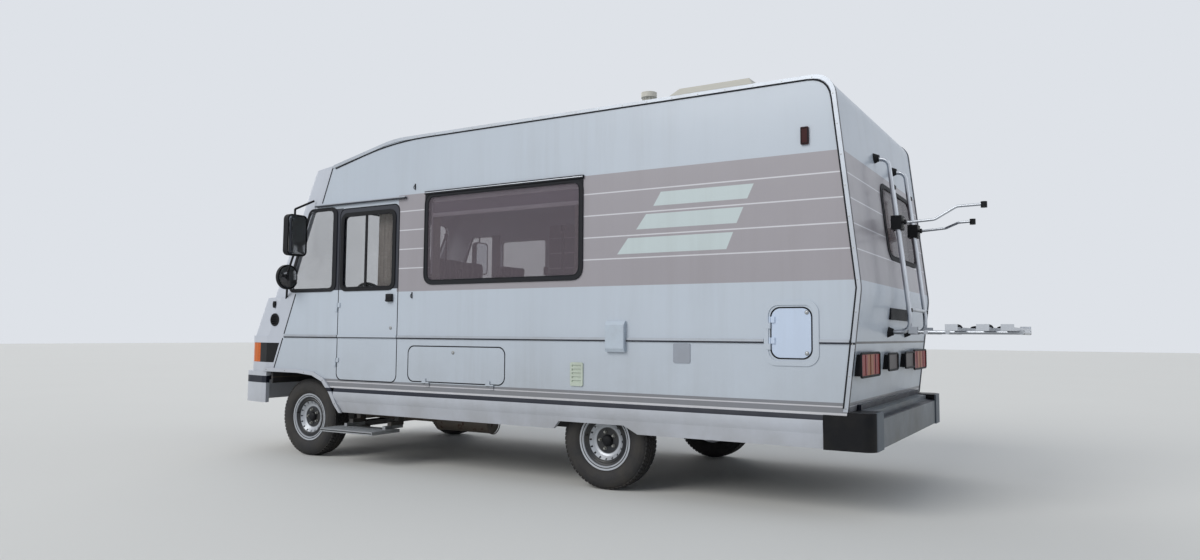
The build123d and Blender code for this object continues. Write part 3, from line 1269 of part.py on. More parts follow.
# Living space: dinette benches and table on the left, a kitchen block on the right, a wardrobe
with BuildPart() as furniture:
    for low_x, high_x, low_y, high_y, high_z in ((-1850, -1330, 380, inner_half, 1080),
                                                 (-2870, -2500, 380, inner_half, 1080),
                                                 (-3550, -2560, -inner_half, -500, 1520),
                                                 (-(wheelbase + 1557), -(wheelbase + 1057), -inner_half, -250, 2300)):
        add(block((ahead(low_x), low_y + 1, floor_z), (ahead(high_x), high_y - 1, high_z)))
    add(block((ahead(-2430), 480, 1360), (ahead(-1950), inner_half - 1, 1390)))
    add(block((ahead(-2210), 600, floor_z), (ahead(-2170), 640, 1360)))
    for low_x, high_x in ((-1850, -1330), (-2870, -2500)):
        add(block((ahead(low_x) + 18, 398, floor_z - 1), (ahead(high_x) - 18, inner_half + 5, 1062)),
            mode=Mode.SUBTRACT)
    add(floor.part, mode=Mode.SUBTRACT)
keep("furniture", furniture.part)

# Dinette cushions: a seat on each bench and a back behind it
with BuildPart() as bench_cushions:
    for seat_low, seat_high, back_low, back_high in ((-1850, -1440, -1430, -1332), (-2760, -2500, -2868, -2770)):
        add(block((ahead(seat_low), 400, 1080 + running_gap), (ahead(seat_high), inner_half - 45, 1180)))
        add(block((ahead(back_low), 400, 1080 + running_gap), (ahead(back_high), inner_half - 45, 1640)))
    fillet(bench_cushions.edges().filter_by(Axis.Y).group_by(Axis.Z)[-1], 25)
keep("bench_cushions", bench_cushions.part)

# Curtains: thin hangings inside the windows
with BuildPart() as curtains:
    for low_x, high_x, low_z, high_z in ((-1470, -1380, 1420, 2120), (-2780, -2690, 1420, 2120)):
        add(block((ahead(low_x), inner_half - 40, low_z), (ahead(high_x), inner_half - running_gap, high_z)))
keep("curtains", curtains.part)

# Entry step under the driver's door, which slides in and out on two runners
step_low_x = ahead(-970)
step_high_x = ahead(-390)
with BuildPart() as entry_step:
    add(block((step_low_x, half_width - 175, 250), (step_high_x, half_width + 125, 275)))
    for x in (step_low_x + 60, step_high_x - 90):
        add(block((x, half_width - 275, 275), (x + 30, half_width - 75, 300)))
keep("entry_step", entry_step.part)
with BuildPart() as step_carrier:
    for x in (step_low_x + 60, step_high_x - 90):
        add(block((x - 6, half_width - 275, 300 + running_gap), (x + 36, half_width - 135, 330)))
        add(block((x - 6, half_width - 275, 330), (x + 36, half_width - 215, rail_top_z)))
keep("step_carrier", step_carrier.part)
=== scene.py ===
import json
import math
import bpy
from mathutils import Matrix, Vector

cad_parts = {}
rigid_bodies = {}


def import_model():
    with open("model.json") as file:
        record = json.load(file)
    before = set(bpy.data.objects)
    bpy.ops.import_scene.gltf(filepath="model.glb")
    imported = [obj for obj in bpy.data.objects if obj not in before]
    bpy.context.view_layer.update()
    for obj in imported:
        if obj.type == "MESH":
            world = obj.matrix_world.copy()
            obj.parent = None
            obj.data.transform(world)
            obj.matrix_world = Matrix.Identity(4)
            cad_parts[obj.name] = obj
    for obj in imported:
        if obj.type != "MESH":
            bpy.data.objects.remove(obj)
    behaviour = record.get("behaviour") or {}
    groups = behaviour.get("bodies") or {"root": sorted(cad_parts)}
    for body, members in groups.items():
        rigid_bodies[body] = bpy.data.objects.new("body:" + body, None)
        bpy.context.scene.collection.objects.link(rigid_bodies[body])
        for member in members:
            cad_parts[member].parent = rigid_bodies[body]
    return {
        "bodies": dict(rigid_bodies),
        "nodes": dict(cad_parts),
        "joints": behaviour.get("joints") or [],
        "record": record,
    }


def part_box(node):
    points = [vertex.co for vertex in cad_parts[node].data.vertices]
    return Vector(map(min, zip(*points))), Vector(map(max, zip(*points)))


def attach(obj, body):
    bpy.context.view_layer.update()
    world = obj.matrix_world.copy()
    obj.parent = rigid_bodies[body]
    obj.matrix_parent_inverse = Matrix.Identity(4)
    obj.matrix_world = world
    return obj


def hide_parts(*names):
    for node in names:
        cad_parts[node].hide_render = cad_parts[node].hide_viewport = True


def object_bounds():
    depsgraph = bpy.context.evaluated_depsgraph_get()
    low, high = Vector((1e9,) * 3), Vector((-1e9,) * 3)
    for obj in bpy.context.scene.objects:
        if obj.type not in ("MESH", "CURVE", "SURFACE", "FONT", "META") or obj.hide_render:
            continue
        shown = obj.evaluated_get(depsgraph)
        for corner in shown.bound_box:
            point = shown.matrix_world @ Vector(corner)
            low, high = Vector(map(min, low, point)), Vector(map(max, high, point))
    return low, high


bl_info = {
    "name": "Motorhome",
    "version": (1, 0, 0),
    "blender": (4, 5, 0),
    "location": "3D View > Sidebar > Motorhome",
    "description": "Dresses a motorhome's solids with its finishes and fine parts",
    "category": "Object",
}

import bmesh
import bpy
from bpy.props import FloatProperty, FloatVectorProperty, IntProperty, PointerProperty
from mathutils import Matrix, Vector, noise

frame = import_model()
CAD_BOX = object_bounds()
NODES = frame["nodes"]
ROOT = "motorhome"


def middle_x(node):
    """X halfway through a CAD node."""
    return sum(corner.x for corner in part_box(node)) / 2


# Main lines of the body, in metres
FRONT_AXLE_X = middle_x("rim_front_left")
REAR_AXLE_X = middle_x("rim_rear_left")
AXLE_Z = 0.325
HALF_TRACK = 0.905
HALF_WIDTH = 1.075
ROOF_Z = 2.590
FLOOR_Z = 0.652
BELT_Z = 1.010
WAIST_Z = 1.320
NOSE_REACH = 0.792
NOSE_LEAN = 0.457
SCREEN_SET_BACK = 0.091
WHEELS = (
    ("front_left", FRONT_AXLE_X, 1),
    ("front_right", FRONT_AXLE_X, -1),
    ("rear_left", REAR_AXLE_X, 1),
    ("rear_right", REAR_AXLE_X, -1),
)


def ahead(distance):
    """X of a point that lies this far ahead of the front axle."""
    return FRONT_AXLE_X + distance


# Openings in the side walls: low x, high x, low z, high z
LIVING_WINDOW = (ahead(-2.770), ahead(-1.383), 1.442, 2.095)
KITCHEN_WINDOW = (ahead(-3.500), ahead(-2.650), 1.560, 2.040)
CAB_WINDOW = (ahead(-1.023), ahead(-0.462), 1.408, 2.000)
DRIVER_DOOR = (ahead(-1.090), ahead(-0.414), FLOOR_Z, 2.068)
LOCKER_FLAP = (ahead(-2.148), ahead(-1.204), 0.668, 0.948)
SERVICE_DOOR = (REAR_AXLE_X - 1.461, REAR_AXLE_X - 1.203, 0.903, 1.214)
ENTRANCE_DOOR = (ahead(-2.180), ahead(-1.560), FLOOR_Z, 2.380)

# Painted lines on the walls: heights, and for a slanted bar its low and high edge
# with the rear and front end of each, ahead of the front axle
PINSTRIPES = (1.548, 1.698, 1.848, 1.998)
BAND_FRONT = -1.072
SLANTED_BARS = (
    (1.883, 1.972, -3.985, -4.028, -3.337, -3.392),
    (1.735, 1.832, -3.915, -3.960, -3.211, -3.284),
    (1.576, 1.680, -3.847, -3.892, -3.067, -3.149),
)
GREY_ZONE = (0.603, 0.662)
FOOT_LINES = ((0.590, 0.603), (0.636, 0.643))

# Dark boxes painted on the walls: low x, high x, low z, high z
DOOR_PILLAR = (ahead(-0.452), ahead(-0.335), 1.392, 2.072)
DOOR_FRAME = (ahead(-1.2), ahead(-0.3), 1.392, 2.2)
DOOR_LINE = (ahead(-1.2), ahead(-0.3), 0.998, 1.006)
REAR_LINE = (ahead(-9.0), ahead(9.0), 0.998, 1.012)


def seam_x(z):
    """X of the seam between the cowl and the side walls at a height."""
    return ahead(0.245 + 0.393 * (BELT_Z - z))


def rear_x(z):
    """X of the rear wall's face, which leans in above the waist and below it."""
    lean = 0.1138 * (z - WAIST_Z) if z > WAIST_Z else 0.118 * (WAIST_Z - z)
    return REAR_AXLE_X - 1.739 + lean


def nose_bow(y):
    """How far the nose's plan stands ahead of its front line at this place across it."""
    corner_y, corner_r, bulge = 0.850, 0.174, 0.040
    if abs(y) <= corner_y:
        radius = (corner_y**2 + bulge**2) / (2 * bulge)
        return math.sqrt(radius**2 - y**2) - (radius - bulge)
    across = min(abs(y) - corner_y, corner_r)
    return math.sqrt(corner_r**2 - across**2) - corner_r


def on_screen(y, z, out):
    """A point that stands this far out of the windscreen or the ledge below it."""
    front = ahead(NOSE_REACH - NOSE_LEAN * (z - BELT_Z) - SCREEN_SET_BACK)
    return Vector((front + nose_bow(y) + out, y, z + out * NOSE_LEAN))


def tint(red, green, blue):
    """A colour as Blender keeps it, from the usual 0 to 255 scale."""
    scaled = [c / 255 for c in (red, green, blue)]
    return tuple(c / 12.92 if c <= 0.04045 else ((c + 0.055) / 1.055) ** 2.4 for c in scaled)


def shaded(colour, share, lift=0.0):
    """A colour made darker or lighter by a share of itself, then lifted."""
    return tuple(min(1.0, c * share + lift) for c in colour)


def opaque(colour):
    """A colour with full alpha, as a colour socket takes it."""
    return (*colour[:3], 1.0)


def hue(name, default, description):
    """A colour setting."""
    return FloatVectorProperty(
        name=name, description=description, default=default, subtype="COLOR", min=0, max=1
    )


def size(name, default, description):
    """A length setting, in metres."""
    return FloatProperty(
        name=name, description=description, default=default, min=0, subtype="DISTANCE", unit="LENGTH"
    )


class BodySettings(bpy.types.PropertyGroup):
    """Paints and painted lines of the body"""

    white: hue("White", tint(188, 197, 207), "Coated skin of the walls and roof")
    moulding: hue("Mouldings", tint(194, 199, 208), "Nose, skirts and bumpers")
    band: hue("Band", tint(156, 152, 157), "Wide band along the windows")
    grey_zone: hue("Grey zone", tint(124, 127, 134), "Lined zone along the walls' foot")
    bar: hue("Bars", tint(190, 202, 203), "Three short slanted bars")
    pinstripe: hue("Pinstripes", tint(206, 206, 211), "Thin lines in the band")
    dark_line: hue("Dark lines", tint(26, 30, 42), "Rubber inserts and painted dark lines")
    dirt: hue("Dirt", tint(108, 100, 84), "Road dirt and water streaks")
    band_low: size("Band's low edge", 1.366, "Height of the band's lower edge")
    band_high: size("Band's high edge", 2.128, "Height of the band's upper edge")
    line_width: size("Pinstripe width", 0.008, "Width of a thin line in the band")


class RunningSettings(bpy.types.PropertyGroup):
    """Wheels and underside"""

    rubber: hue("Rubber", tint(42, 42, 44), "Tyre rubber")
    silver: hue("Rims", tint(176, 180, 186), "Silver paint on the rims")
    underside: hue("Underside", tint(44, 44, 47), "Sealed steel below the floor")
    rust: hue("Rust", tint(96, 60, 38), "Rust on bare steel")
    tread_depth: size("Tread depth", 0.007, "Depth of the tyres' grooves")
    tread_pitches: IntProperty(
        name="Tread pitches", description="Blocks round a tyre", default=64, min=24, max=120
    )


class FittingSettings(bpy.types.PropertyGroup):
    """Plastics, metals, lamps and inside"""

    black: hue("Black plastic", tint(20, 21, 24), "Grained plastic and rubber profiles")
    metal: hue("Aluminium", tint(190, 194, 200), "Rails, rack tubes and step")
    amber: hue("Amber", tint(214, 108, 34), "Turn signal lenses")
    red: hue("Red", tint(150, 26, 24), "Tail lamp lenses")
    smoke: hue("Tinted pane", tint(100, 88, 98), "Brown tinted acrylic")
    cloth: hue("Cushion cloth", tint(112, 104, 104), "Woven upholstery")
    curtain: hue("Curtains", tint(206, 198, 192), "Thin woven hangings")
    wood: hue("Furniture", tint(150, 116, 82), "Light oak foil")
    screw_pitch: size("Screw spacing", 0.18, "Distance between trim screws")


class StageSettings(bpy.types.PropertyGroup):
    """Floor, light and camera"""

    floor: hue("Floor", tint(214, 214, 210), "Plain studio floor")
    sky: hue("Sky light", tint(214, 222, 236), "Soft light from all round")
    lens: FloatProperty(
        name="Lens", description="Camera lens in millimetres", default=25.39, min=10, max=200, unit="CAMERA"
    )


class Shade:
    """A value in a material's nodes. Python's operators on it add Math nodes."""

    def __init__(self, recipe, socket):
        self.recipe = recipe
        self.socket = socket

    def maths(self, operation, *values, clamp=False):
        return self.recipe.add("ShaderNodeMath", {"operation": operation, "use_clamp": clamp}, values)

    def __add__(self, other):
        return self.maths("ADD", self, other)

    def __radd__(self, other):
        return self.maths("ADD", other, self)

    def __sub__(self, other):
        return self.maths("SUBTRACT", self, other)

    def __rsub__(self, other):
        return self.maths("SUBTRACT", other, self)

    def __mul__(self, other):
        return self.maths("MULTIPLY", self, other)

    def __rmul__(self, other):
        return self.maths("MULTIPLY", other, self)

    def __pow__(self, other):
        return self.maths("POWER", self, other)

    def __abs__(self):
        return self.maths("ABSOLUTE", self)

    def clamped(self):
        """The value, held between 0 and 1."""
        return self.maths("ADD", self, 0.0, clamp=True)

    def above(self, edge, soft=0.002):
        """1 where the value is over the edge, 0 under it, with a soft step between."""
        if isinstance(edge, Shade):
            return ((self - edge) * (1 / soft) + 0.5).clamped()
        return self.maths("MULTIPLY_ADD", self, 1 / soft, 0.5 - edge / soft, clamp=True)

    def below(self, edge, soft=0.002):
        return 1 - self.above(edge, soft)

    def between(self, low, high, soft=0.002):
        return self.above(low, soft) * self.below(high, soft)


class Recipe:
    """One procedural material and its nodes."""

    def __init__(self, name, colour, roughness=0.5, **sockets):
        self.material = bpy.data.materials.new(name)
        self.material.use_nodes = True
        self.tree = self.material.node_tree
        self.shader = self.tree.nodes["Principled BSDF"]
        self.shader.inputs["Base Color"].default_value = opaque(colour)
        self.shader.inputs["Roughness"].default_value = roughness
        for key, value in sockets.items():
            label = key.replace("_", " ").title().replace("Ior", "IOR")
            self.shader.inputs[label].default_value = value
        self.heights = None
        self.point = self.add("ShaderNodeTexCoord", output="Object")
        parts = self.add("ShaderNodeSeparateXYZ", values=(self.point,))
        outputs = parts.socket.node.outputs
        self.x, self.y, self.z = (Shade(self, outputs[axis]) for axis in "XYZ")

    def add(self, kind, settings=None, values=(), output=0):
        """Adds a node: its settings first, then the values or links of its sockets."""
        node = self.tree.nodes.new(kind)
        for key, value in (settings or {}).items():
            setattr(node, key, value)
        for key, value in values.items() if isinstance(values, dict) else enumerate(values):
            self.feed(node.inputs[key], value)
        return Shade(self, node.outputs[output])

    def feed(self, socket, value):
        """Links a shade to a socket, or sets the socket to a plain value."""
        if isinstance(value, Shade):
            self.tree.links.new(value.socket, socket)
        else:
            socket.default_value = value

    def stretch(self, x, y, z):
        """The place on the object, with each axis scaled."""
        return self.add("ShaderNodeVectorMath", {"operation": "MULTIPLY"}, (self.point, (x, y, z)))

    def noise(self, scale, detail=3.0, roughness=0.5, at=None):
        """Soft patches, as many to the metre as the scale says."""
        values = {"Vector": at or self.point, "Scale": scale, "Detail": detail, "Roughness": roughness}
        return self.add("ShaderNodeTexNoise", values=values)

    def cells(self, scale):
        """Small cells, as in the grain of moulded plastic."""
        return self.add("ShaderNodeTexVoronoi", values={"Vector": self.point, "Scale": scale})

    def wave(self, value, pitch):
        """A sine along a value, from 0 to 1."""
        turn = value * (math.tau / pitch)
        return turn.maths("SINE", turn) * 0.5 + 0.5

    def mix(self, factor, first, second):
        """A colour between two colours."""
        first = first if isinstance(first, Shade) else opaque(first)
        second = second if isinstance(second, Shade) else opaque(second)
        return self.add("ShaderNodeMix", {"data_type": "RGBA"}, {0: factor, 6: first, 7: second}, output=2)

    def colour(self, value):
        self.feed(self.shader.inputs["Base Color"], value)

    def roughness(self, value):
        self.feed(self.shader.inputs["Roughness"], value)

    def relief(self, height, distance, strength=1.0):
        """Raises the surface by height times distance, on top of any relief so far."""
        values = {"Height": height, "Distance": distance, "Strength": strength}
        if self.heights is not None:
            values["Normal"] = self.heights
        self.heights = self.add("ShaderNodeBump", values=values)
        self.feed(self.shader.inputs["Normal"], self.heights)


def dirt_mask(mix, low=0.35, high=1.1, amount=0.5):
    """Road dirt and painted shade that thicken towards the ground, in patches."""
    fall = mix.z.below((low + high) / 2, high - low) * amount
    patches = mix.noise(2.3, 5.0, 0.62)
    return (fall * (patches * 1.6 - 0.25)).clamped()


def streak_mask(mix, amount):
    """Thin runs that rain has left down the walls."""
    runs = mix.noise(1.0, 6.0, 0.7, at=mix.stretch(6.0, 6.0, 0.35))
    where = mix.noise(0.9, 3.0).above(0.5, 0.4)
    return (runs.above(0.6, 0.3) * where * amount).clamped()


def striped(mix, look, body):
    """The wide band behind the cab door, its pinstripes and the three slanted bars."""
    behind = mix.x.below(ahead(BAND_FRONT))
    zone = mix.z.between(body.band_low, body.band_high) * behind
    band = mix.mix(mix.noise(3.0, 2.0), body.band, shaded(body.band, 0.93))
    look = mix.mix(zone, look, band)
    half = body.line_width / 2
    lines = sum(mix.z.between(height - half, height + half) for height in PINSTRIPES)
    look = mix.mix((lines * behind).clamped(), look, body.pinstripe)
    bars = 0
    for low, high, low_rear, high_rear, low_front, high_front in SLANTED_BARS:
        rise = (mix.z - low) * (1 / (high - low))
        rear = rise * (high_rear - low_rear) + ahead(low_rear)
        front = rise * (high_front - low_front) + ahead(low_front)
        bars += mix.z.between(low, high) * mix.x.above(rear) * mix.x.below(front)
    return mix.mix(bars.clamped(), look, body.bar)


def body_skin(name, colour, stripes=True, dirt=0.4, lined=True, dark=()):
    """Coated sheet: the paint, the band with its lines and bars, dark boxes, and the road dirt and painted
    shade on it.
    """
    body = bpy.context.scene.motorhome_body
    mix = Recipe(name, colour, 0.34, coat_weight=0.25, coat_roughness=0.12)
    look = mix.mix(mix.noise(0.7, 3.0).above(0.5, 0.5), colour, shaded(colour, 0.94))
    if stripes:
        look = striped(mix, look, body)
    if lined:
        look = mix.mix(mix.z.between(*GREY_ZONE), look, body.grey_zone)
        light = sum(mix.z.between(low, high) for low, high in FOOT_LINES).clamped()
        look = mix.mix(light, look, body.pinstripe)
    # Road dirt with painted shade, darker towards the ground
    soil = dirt_mask(mix, amount=dirt)
    look = mix.mix((soil + streak_mask(mix, 0.16)).clamped(), look, body.dirt)
    for low_x, high_x, low_z, high_z in dark:
        box = mix.x.between(low_x, high_x) * mix.z.between(low_z, high_z)
        look = mix.mix(box, look, body.dark_line)
    mix.colour(look)
    mix.roughness(mix.noise(6.0, 4.0) * 0.16 + soil * 0.3 + 0.26)
    mix.relief(mix.noise(2.2, 2.0), 0.0035, 0.5)
    mix.relief(mix.noise(160.0, 2.0), 0.0004, 0.25)
    return mix.material


def moulded(name, colour, dirt=0.45, dark_lines=()):
    """Moulded plastic: dark lines are ranges of height in a dark finish."""
    body = bpy.context.scene.motorhome_body
    mix = Recipe(name, colour, 0.4, specular_ior_level=0.2)
    look = mix.mix(mix.noise(1.3, 4.0).above(0.5, 0.6), colour, shaded(colour, 0.9))
    # Road dirt with painted shade, darker towards the ground
    soil = dirt_mask(mix, 0.3, 0.95, dirt)
    look = mix.mix((soil + streak_mask(mix, 0.1)).clamped(), look, body.dirt)
    for low, high in dark_lines:
        look = mix.mix(mix.z.between(low, high), look, body.dark_line)
    mix.colour(look)
    mix.roughness(mix.noise(9.0, 4.0) * 0.2 + soil * 0.25 + 0.3)
    mix.relief(mix.noise(420.0, 2.0), 0.0006, 0.4)
    return mix.material


def zoned(name, colour, zones, metallic=0.0, roughness=0.45, grime=0.16, shine=0.5):
    """A part with painted zones: each zone makes its mask from the recipe, and has a colour."""
    body = bpy.context.scene.motorhome_body
    mix = Recipe(name, colour, roughness, metallic=metallic, specular_ior_level=shine)
    worn = mix.noise(3.0, 5.0, 0.6)
    look = mix.mix(worn.above(0.55, 0.4) * 0.3, colour, shaded(colour, 0.78))
    for mask, tone in zones:
        look = mix.mix(mask(mix), look, tone)
    mix.colour(mix.mix(mix.noise(7.0, 5.0, 0.65).above(0.58, 0.3) * grime, look, body.dirt))
    mix.roughness(worn * 0.2 + (roughness - 0.1))
    mix.relief(mix.noise(300.0, 2.0), 0.0004, 0.35)
    return mix.material


def wheel_radius(mix):
    """Distance from the nearer wheel's axle."""
    front = abs(mix.x - FRONT_AXLE_X)
    along = front.maths("MINIMUM", front, abs(mix.x - REAR_AXLE_X))
    height = mix.z - AXLE_Z
    return (along * along + height * height) ** 0.5


def rubber(name, colour, dust=0.2):
    """Dull rubber with dust in patches."""
    body = bpy.context.scene.motorhome_body
    mix = Recipe(name, colour, 0.75, specular_ior_level=0.3)
    patches = mix.noise(7.0, 5.0, 0.65)
    mix.colour(mix.mix((patches.above(0.55, 0.4) * dust).clamped(), colour, body.dirt))
    mix.roughness(patches * 0.2 + 0.6)
    mix.relief(mix.noise(240.0, 3.0), 0.0006, 0.5)
    return mix.material


def grained_plastic(name, colour, roughness=0.55):
    """Dark plastic with a fine grain, greyed where it is worn."""
    mix = Recipe(name, colour, roughness, specular_ior_level=0.2)
    worn = mix.noise(4.0, 4.0, 0.6)
    mix.colour(mix.mix(worn.above(0.62, 0.4) * 0.3, colour, shaded(colour, 2.0, 0.008)))
    mix.roughness(worn * 0.25 + (roughness - 0.12))
    mix.relief(mix.cells(620.0), 0.0005, 0.45)
    return mix.material


def brushed_metal(name, colour, along="x", roughness=0.32, dull=0.25):
    """Drawn aluminium: fine lines along one axis, dulled in patches."""
    mix = Recipe(name, colour, roughness, metallic=1.0)
    fine, long = 260, 3
    lines = mix.noise(1.0, 3.0, at=mix.stretch(*(long if axis == along else fine for axis in "xyz")))
    tarnish = mix.noise(5.0, 5.0, 0.6).above(0.52, 0.35) * dull
    mix.colour(mix.mix(tarnish, colour, shaded(colour, 0.5)))
    mix.roughness(lines * 0.14 + tarnish * 0.4 + (roughness - 0.07))
    mix.relief(lines, 0.0003, 0.3)
    return mix.material


def painted_steel(name, colour, rust):
    """Painted steel that has rusted in spots and gathered dirt."""
    running = bpy.context.scene.motorhome_running
    body = bpy.context.scene.motorhome_body
    mix = Recipe(name, colour, 0.5)
    grains = mix.noise(14.0, 6.0, 0.7).above(0.64, 0.12)
    spots = (grains * mix.noise(2.0, 2.0).above(0.45, 0.3) * rust * 3).clamped()
    flakes = mix.mix(mix.noise(60.0, 3.0), running.rust, shaded(running.rust, 0.4))
    look = mix.mix(spots, colour, flakes)
    soil = mix.noise(5.0, 5.0, 0.6).above(0.5, 0.4) * 0.35
    mix.colour(mix.mix(soil, look, body.dirt))
    mix.roughness(spots * 0.4 + soil * 0.3 + 0.42)
    mix.relief(spots, 0.001, 0.6)
    mix.relief(mix.noise(90.0, 3.0), 0.0006, 0.35)
    return mix.material


def glazing(name, colour, alpha, roughness=0.03):
    """Glass or acrylic, with a faint film of dust on it."""
    body = bpy.context.scene.motorhome_body
    mix = Recipe(name, colour, roughness, ior=1.5, specular_ior_level=0.8)
    film = mix.noise(1.8, 5.0, 0.6)
    streaks = mix.noise(1.0, 3.0, at=mix.stretch(14.0, 14.0, 1.4))
    mix.colour(mix.mix(film * 0.16, colour, body.dirt))
    mix.roughness(film * 0.05 + streaks * 0.04 + roughness)
    mix.feed(mix.shader.inputs["Alpha"], (film * 0.12 + alpha).clamped())
    mix.relief(mix.noise(1.3, 1.0), 0.004, 0.12)
    return mix.material


def lens(name, colour, alpha=1.0, zones=()):
    """A fluted lamp lens, lit by nothing of its own, with coloured zones; painted shade darkens its colour in
    stripes along the flutes.
    """
    mix = Recipe(name, colour, 0.3, specular_ior_level=0.14)
    flutes = mix.wave(mix.y, 0.011)
    # Painted shade: the colour darkens in stripes along the flutes
    depth = mix.mix(flutes, colour, shaded(colour, 0.72))
    look = mix.mix(mix.noise(9.0, 3.0) * 0.2, depth, shaded(colour, 0.4))
    # Each zone's colour is striped with the same painted shade along the flutes
    for mask, tone in zones:
        look = mix.mix(mask(mix), look, mix.mix(flutes, tone, shaded(tone, 0.75)))
    mix.colour(look)
    mix.shader.inputs["Alpha"].default_value = alpha
    mix.relief(flutes, 0.0006, 0.35)
    return mix.material


def woven(name, colour, pitch=0.0024, sheen=0.35, ribs=None):
    """Woven cloth with its crossing threads, colour flecks, sheen, and ribs where it has them."""
    second = shaded(colour, 0.62)
    mix = Recipe(name, colour, 0.85, sheen_weight=sheen, sheen_roughness=0.5)
    weave = mix.wave(mix.x + mix.y * 0.7, pitch) * mix.wave(mix.z + mix.y * 0.7, pitch)
    look = mix.mix(mix.noise(120.0, 2.0).above(0.5, 0.3), colour, second)
    if ribs:
        stripe = mix.wave(mix.y, ribs).above(0.75, 0.1)
        look = mix.mix(stripe * 0.6, look, shaded(colour, 1.7))
    mix.colour(mix.mix(mix.noise(3.0, 3.0).above(0.55, 0.4) * 0.3, look, second))
    mix.relief(weave, 0.0008, 0.6)
    mix.relief(mix.noise(26.0, 3.0), 0.002, 0.3)
    return mix.material


def wood_foil(name, colour):
    """Oak foil: long upright grain lines with a few darker pores."""
    mix = Recipe(name, colour, 0.42, coat_weight=0.2, coat_roughness=0.25)
    grain = (14, 14, 0.9)
    rings = mix.noise(2.2, 6.0, 0.6, at=mix.stretch(*grain))
    pores = mix.noise(9.0, 4.0, at=mix.stretch(*(s * 2.2 for s in grain))).above(0.62, 0.1)
    look = mix.mix(rings.above(0.5, 0.35), colour, shaded(colour, 0.55))
    mix.colour(mix.mix(pores * 0.5, look, shaded(colour, 0.3)))
    mix.roughness(rings * 0.15 + 0.36)
    mix.relief(pores, 0.0004, 0.4)
    return mix.material


FINISHES = {}


def link(obj):
    """Puts an object into the scene."""
    bpy.context.scene.collection.objects.link(obj)
    return obj


def mesh_of(name, bm):
    """Turns a bmesh into a mesh and frees it."""
    mesh = bpy.data.meshes.new(name)
    bm.to_mesh(mesh)
    bm.free()
    return mesh


def smooth(mesh, angle):
    """Shades a mesh smooth, with sharp edges over an angle in degrees."""
    mesh.polygons.foreach_set("use_smooth", [True] * len(mesh.polygons))
    mesh.set_sharp_from_angle(angle=math.radians(angle))


def piece(name, bm, finish, body=ROOT, angle=32, outward=True):
    """Makes a bmesh a piece that rides on a body, in one finish or, by face, in several."""
    if outward:
        bmesh.ops.recalc_face_normals(bm, faces=bm.faces)
    mesh = mesh_of(name, bm)
    for key in (finish,) if isinstance(finish, str) else finish:
        mesh.materials.append(FINISHES[key])
    smooth(mesh, angle)
    obj = link(bpy.data.objects.new(name, mesh))
    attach(obj, body)
    return obj


def evaluated_mesh(obj):
    """The mesh that an object's modifiers make of it."""
    bpy.context.view_layer.update()
    return bpy.data.meshes.new_from_object(obj.evaluated_get(bpy.context.evaluated_depsgraph_get()))


def apply_modifiers(obj):
    """Turns the evaluated object into its own plain mesh."""
    mesh = evaluated_mesh(obj)
    obj.modifiers.clear()
    obj.data = mesh


def rounded_box(bm, low, high, bevel=0.004, segments=2, material=0):
    """A box between two corners with rounded edges, bevelled by itself and then joined to the rest."""
    box = bmesh.new()
    bmesh.ops.create_cube(box, size=1.0)
    middle = (Vector(low) + Vector(high)) / 2
    extent = Vector(high) - Vector(low)
    for vert in box.verts:
        vert.co = Vector(c * e for c, e in zip(vert.co, extent)) + middle
    for face in box.faces:
        face.material_index = material
    if bevel:
        shape = {"offset": bevel, "segments": segments, "profile": 0.5}
        bmesh.ops.bevel(box, geom=list(box.edges), affect="EDGES", clamp_overlap=True, **shape)
    mesh = mesh_of("Box", box)
    bm.from_mesh(mesh)
    bpy.data.meshes.remove(mesh)


def ring_of(centre, u, v, radii, count):
    """Points round a centre in the plane of two directions."""
    return [
        centre + u * (math.cos(a) * radii[0]) + v * (math.sin(a) * radii[1])
        for a in (math.tau * i / count for i in range(count))
    ]


def loft(bm, rings, cap=True, material=0):
    """Joins closed rings of points, one after the other, into a skin."""
    rows = [[bm.verts.new(point) for point in ring] for ring in rings]
    count = len(rows[0])
    for first, second in zip(rows, rows[1:]):
        for i in range(count):
            j = (i + 1) % count
            bm.faces.new((first[i], first[j], second[j], second[i])).material_index = material
    if cap:
        bm.faces.new(list(reversed(rows[0]))).material_index = material
        bm.faces.new(rows[-1]).material_index = material
    return rows


def tube(bm, points, radius, count=12, closed=False, flat=1.0):
    """A round rod that follows points; flat squeezes it across its second direction."""
    points = [Vector(p) for p in points]
    rings = []
    last = len(points) - 1
    side = None
    for i, point in enumerate(points):
        if closed:
            direction = points[(i + 1) % len(points)] - points[i - 1]
        else:
            direction = points[min(i + 1, last)] - points[max(i - 1, 0)]
        direction.normalize()
        if side is None:
            side = direction.cross(Vector((0, 0, 1)) if abs(direction.z) < 0.9 else Vector((0, 1, 0)))
        side = (side - direction * side.dot(direction)).normalized()
        rings.append(ring_of(point, side, direction.cross(side), (radius, radius * flat), count))
    rows = loft(bm, rings, cap=not closed)
    if closed:
        for i in range(count):
            j = (i + 1) % count
            bm.faces.new((rows[-1][i], rows[-1][j], rows[0][j], rows[0][i]))


def turned_rings(centre, axis, profile, count):
    """The rings of a turned part from its profile of (distance along the axis, radius)."""
    axis = Vector(axis).normalized()
    side = axis.cross(Vector((0, 0, 1)) if abs(axis.z) < 0.9 else Vector((1, 0, 0))).normalized()
    up = axis.cross(side)
    return [ring_of(Vector(centre) + axis * along, side, up, (r, r), count) for along, r in profile]


def disc(bm, centre, axis, profile, count=24, material=0):
    """A turned part with flat ends."""
    loft(bm, turned_rings(centre, axis, profile, count), material=material)


def lathe(bm, centre, axis, profile, count):
    """A turned part whose profile closes on itself."""
    rings = turned_rings(centre, axis, profile, count)
    loft(bm, rings + rings[:1], cap=False)
    bmesh.ops.remove_doubles(bm, verts=bm.verts, dist=0.00001)


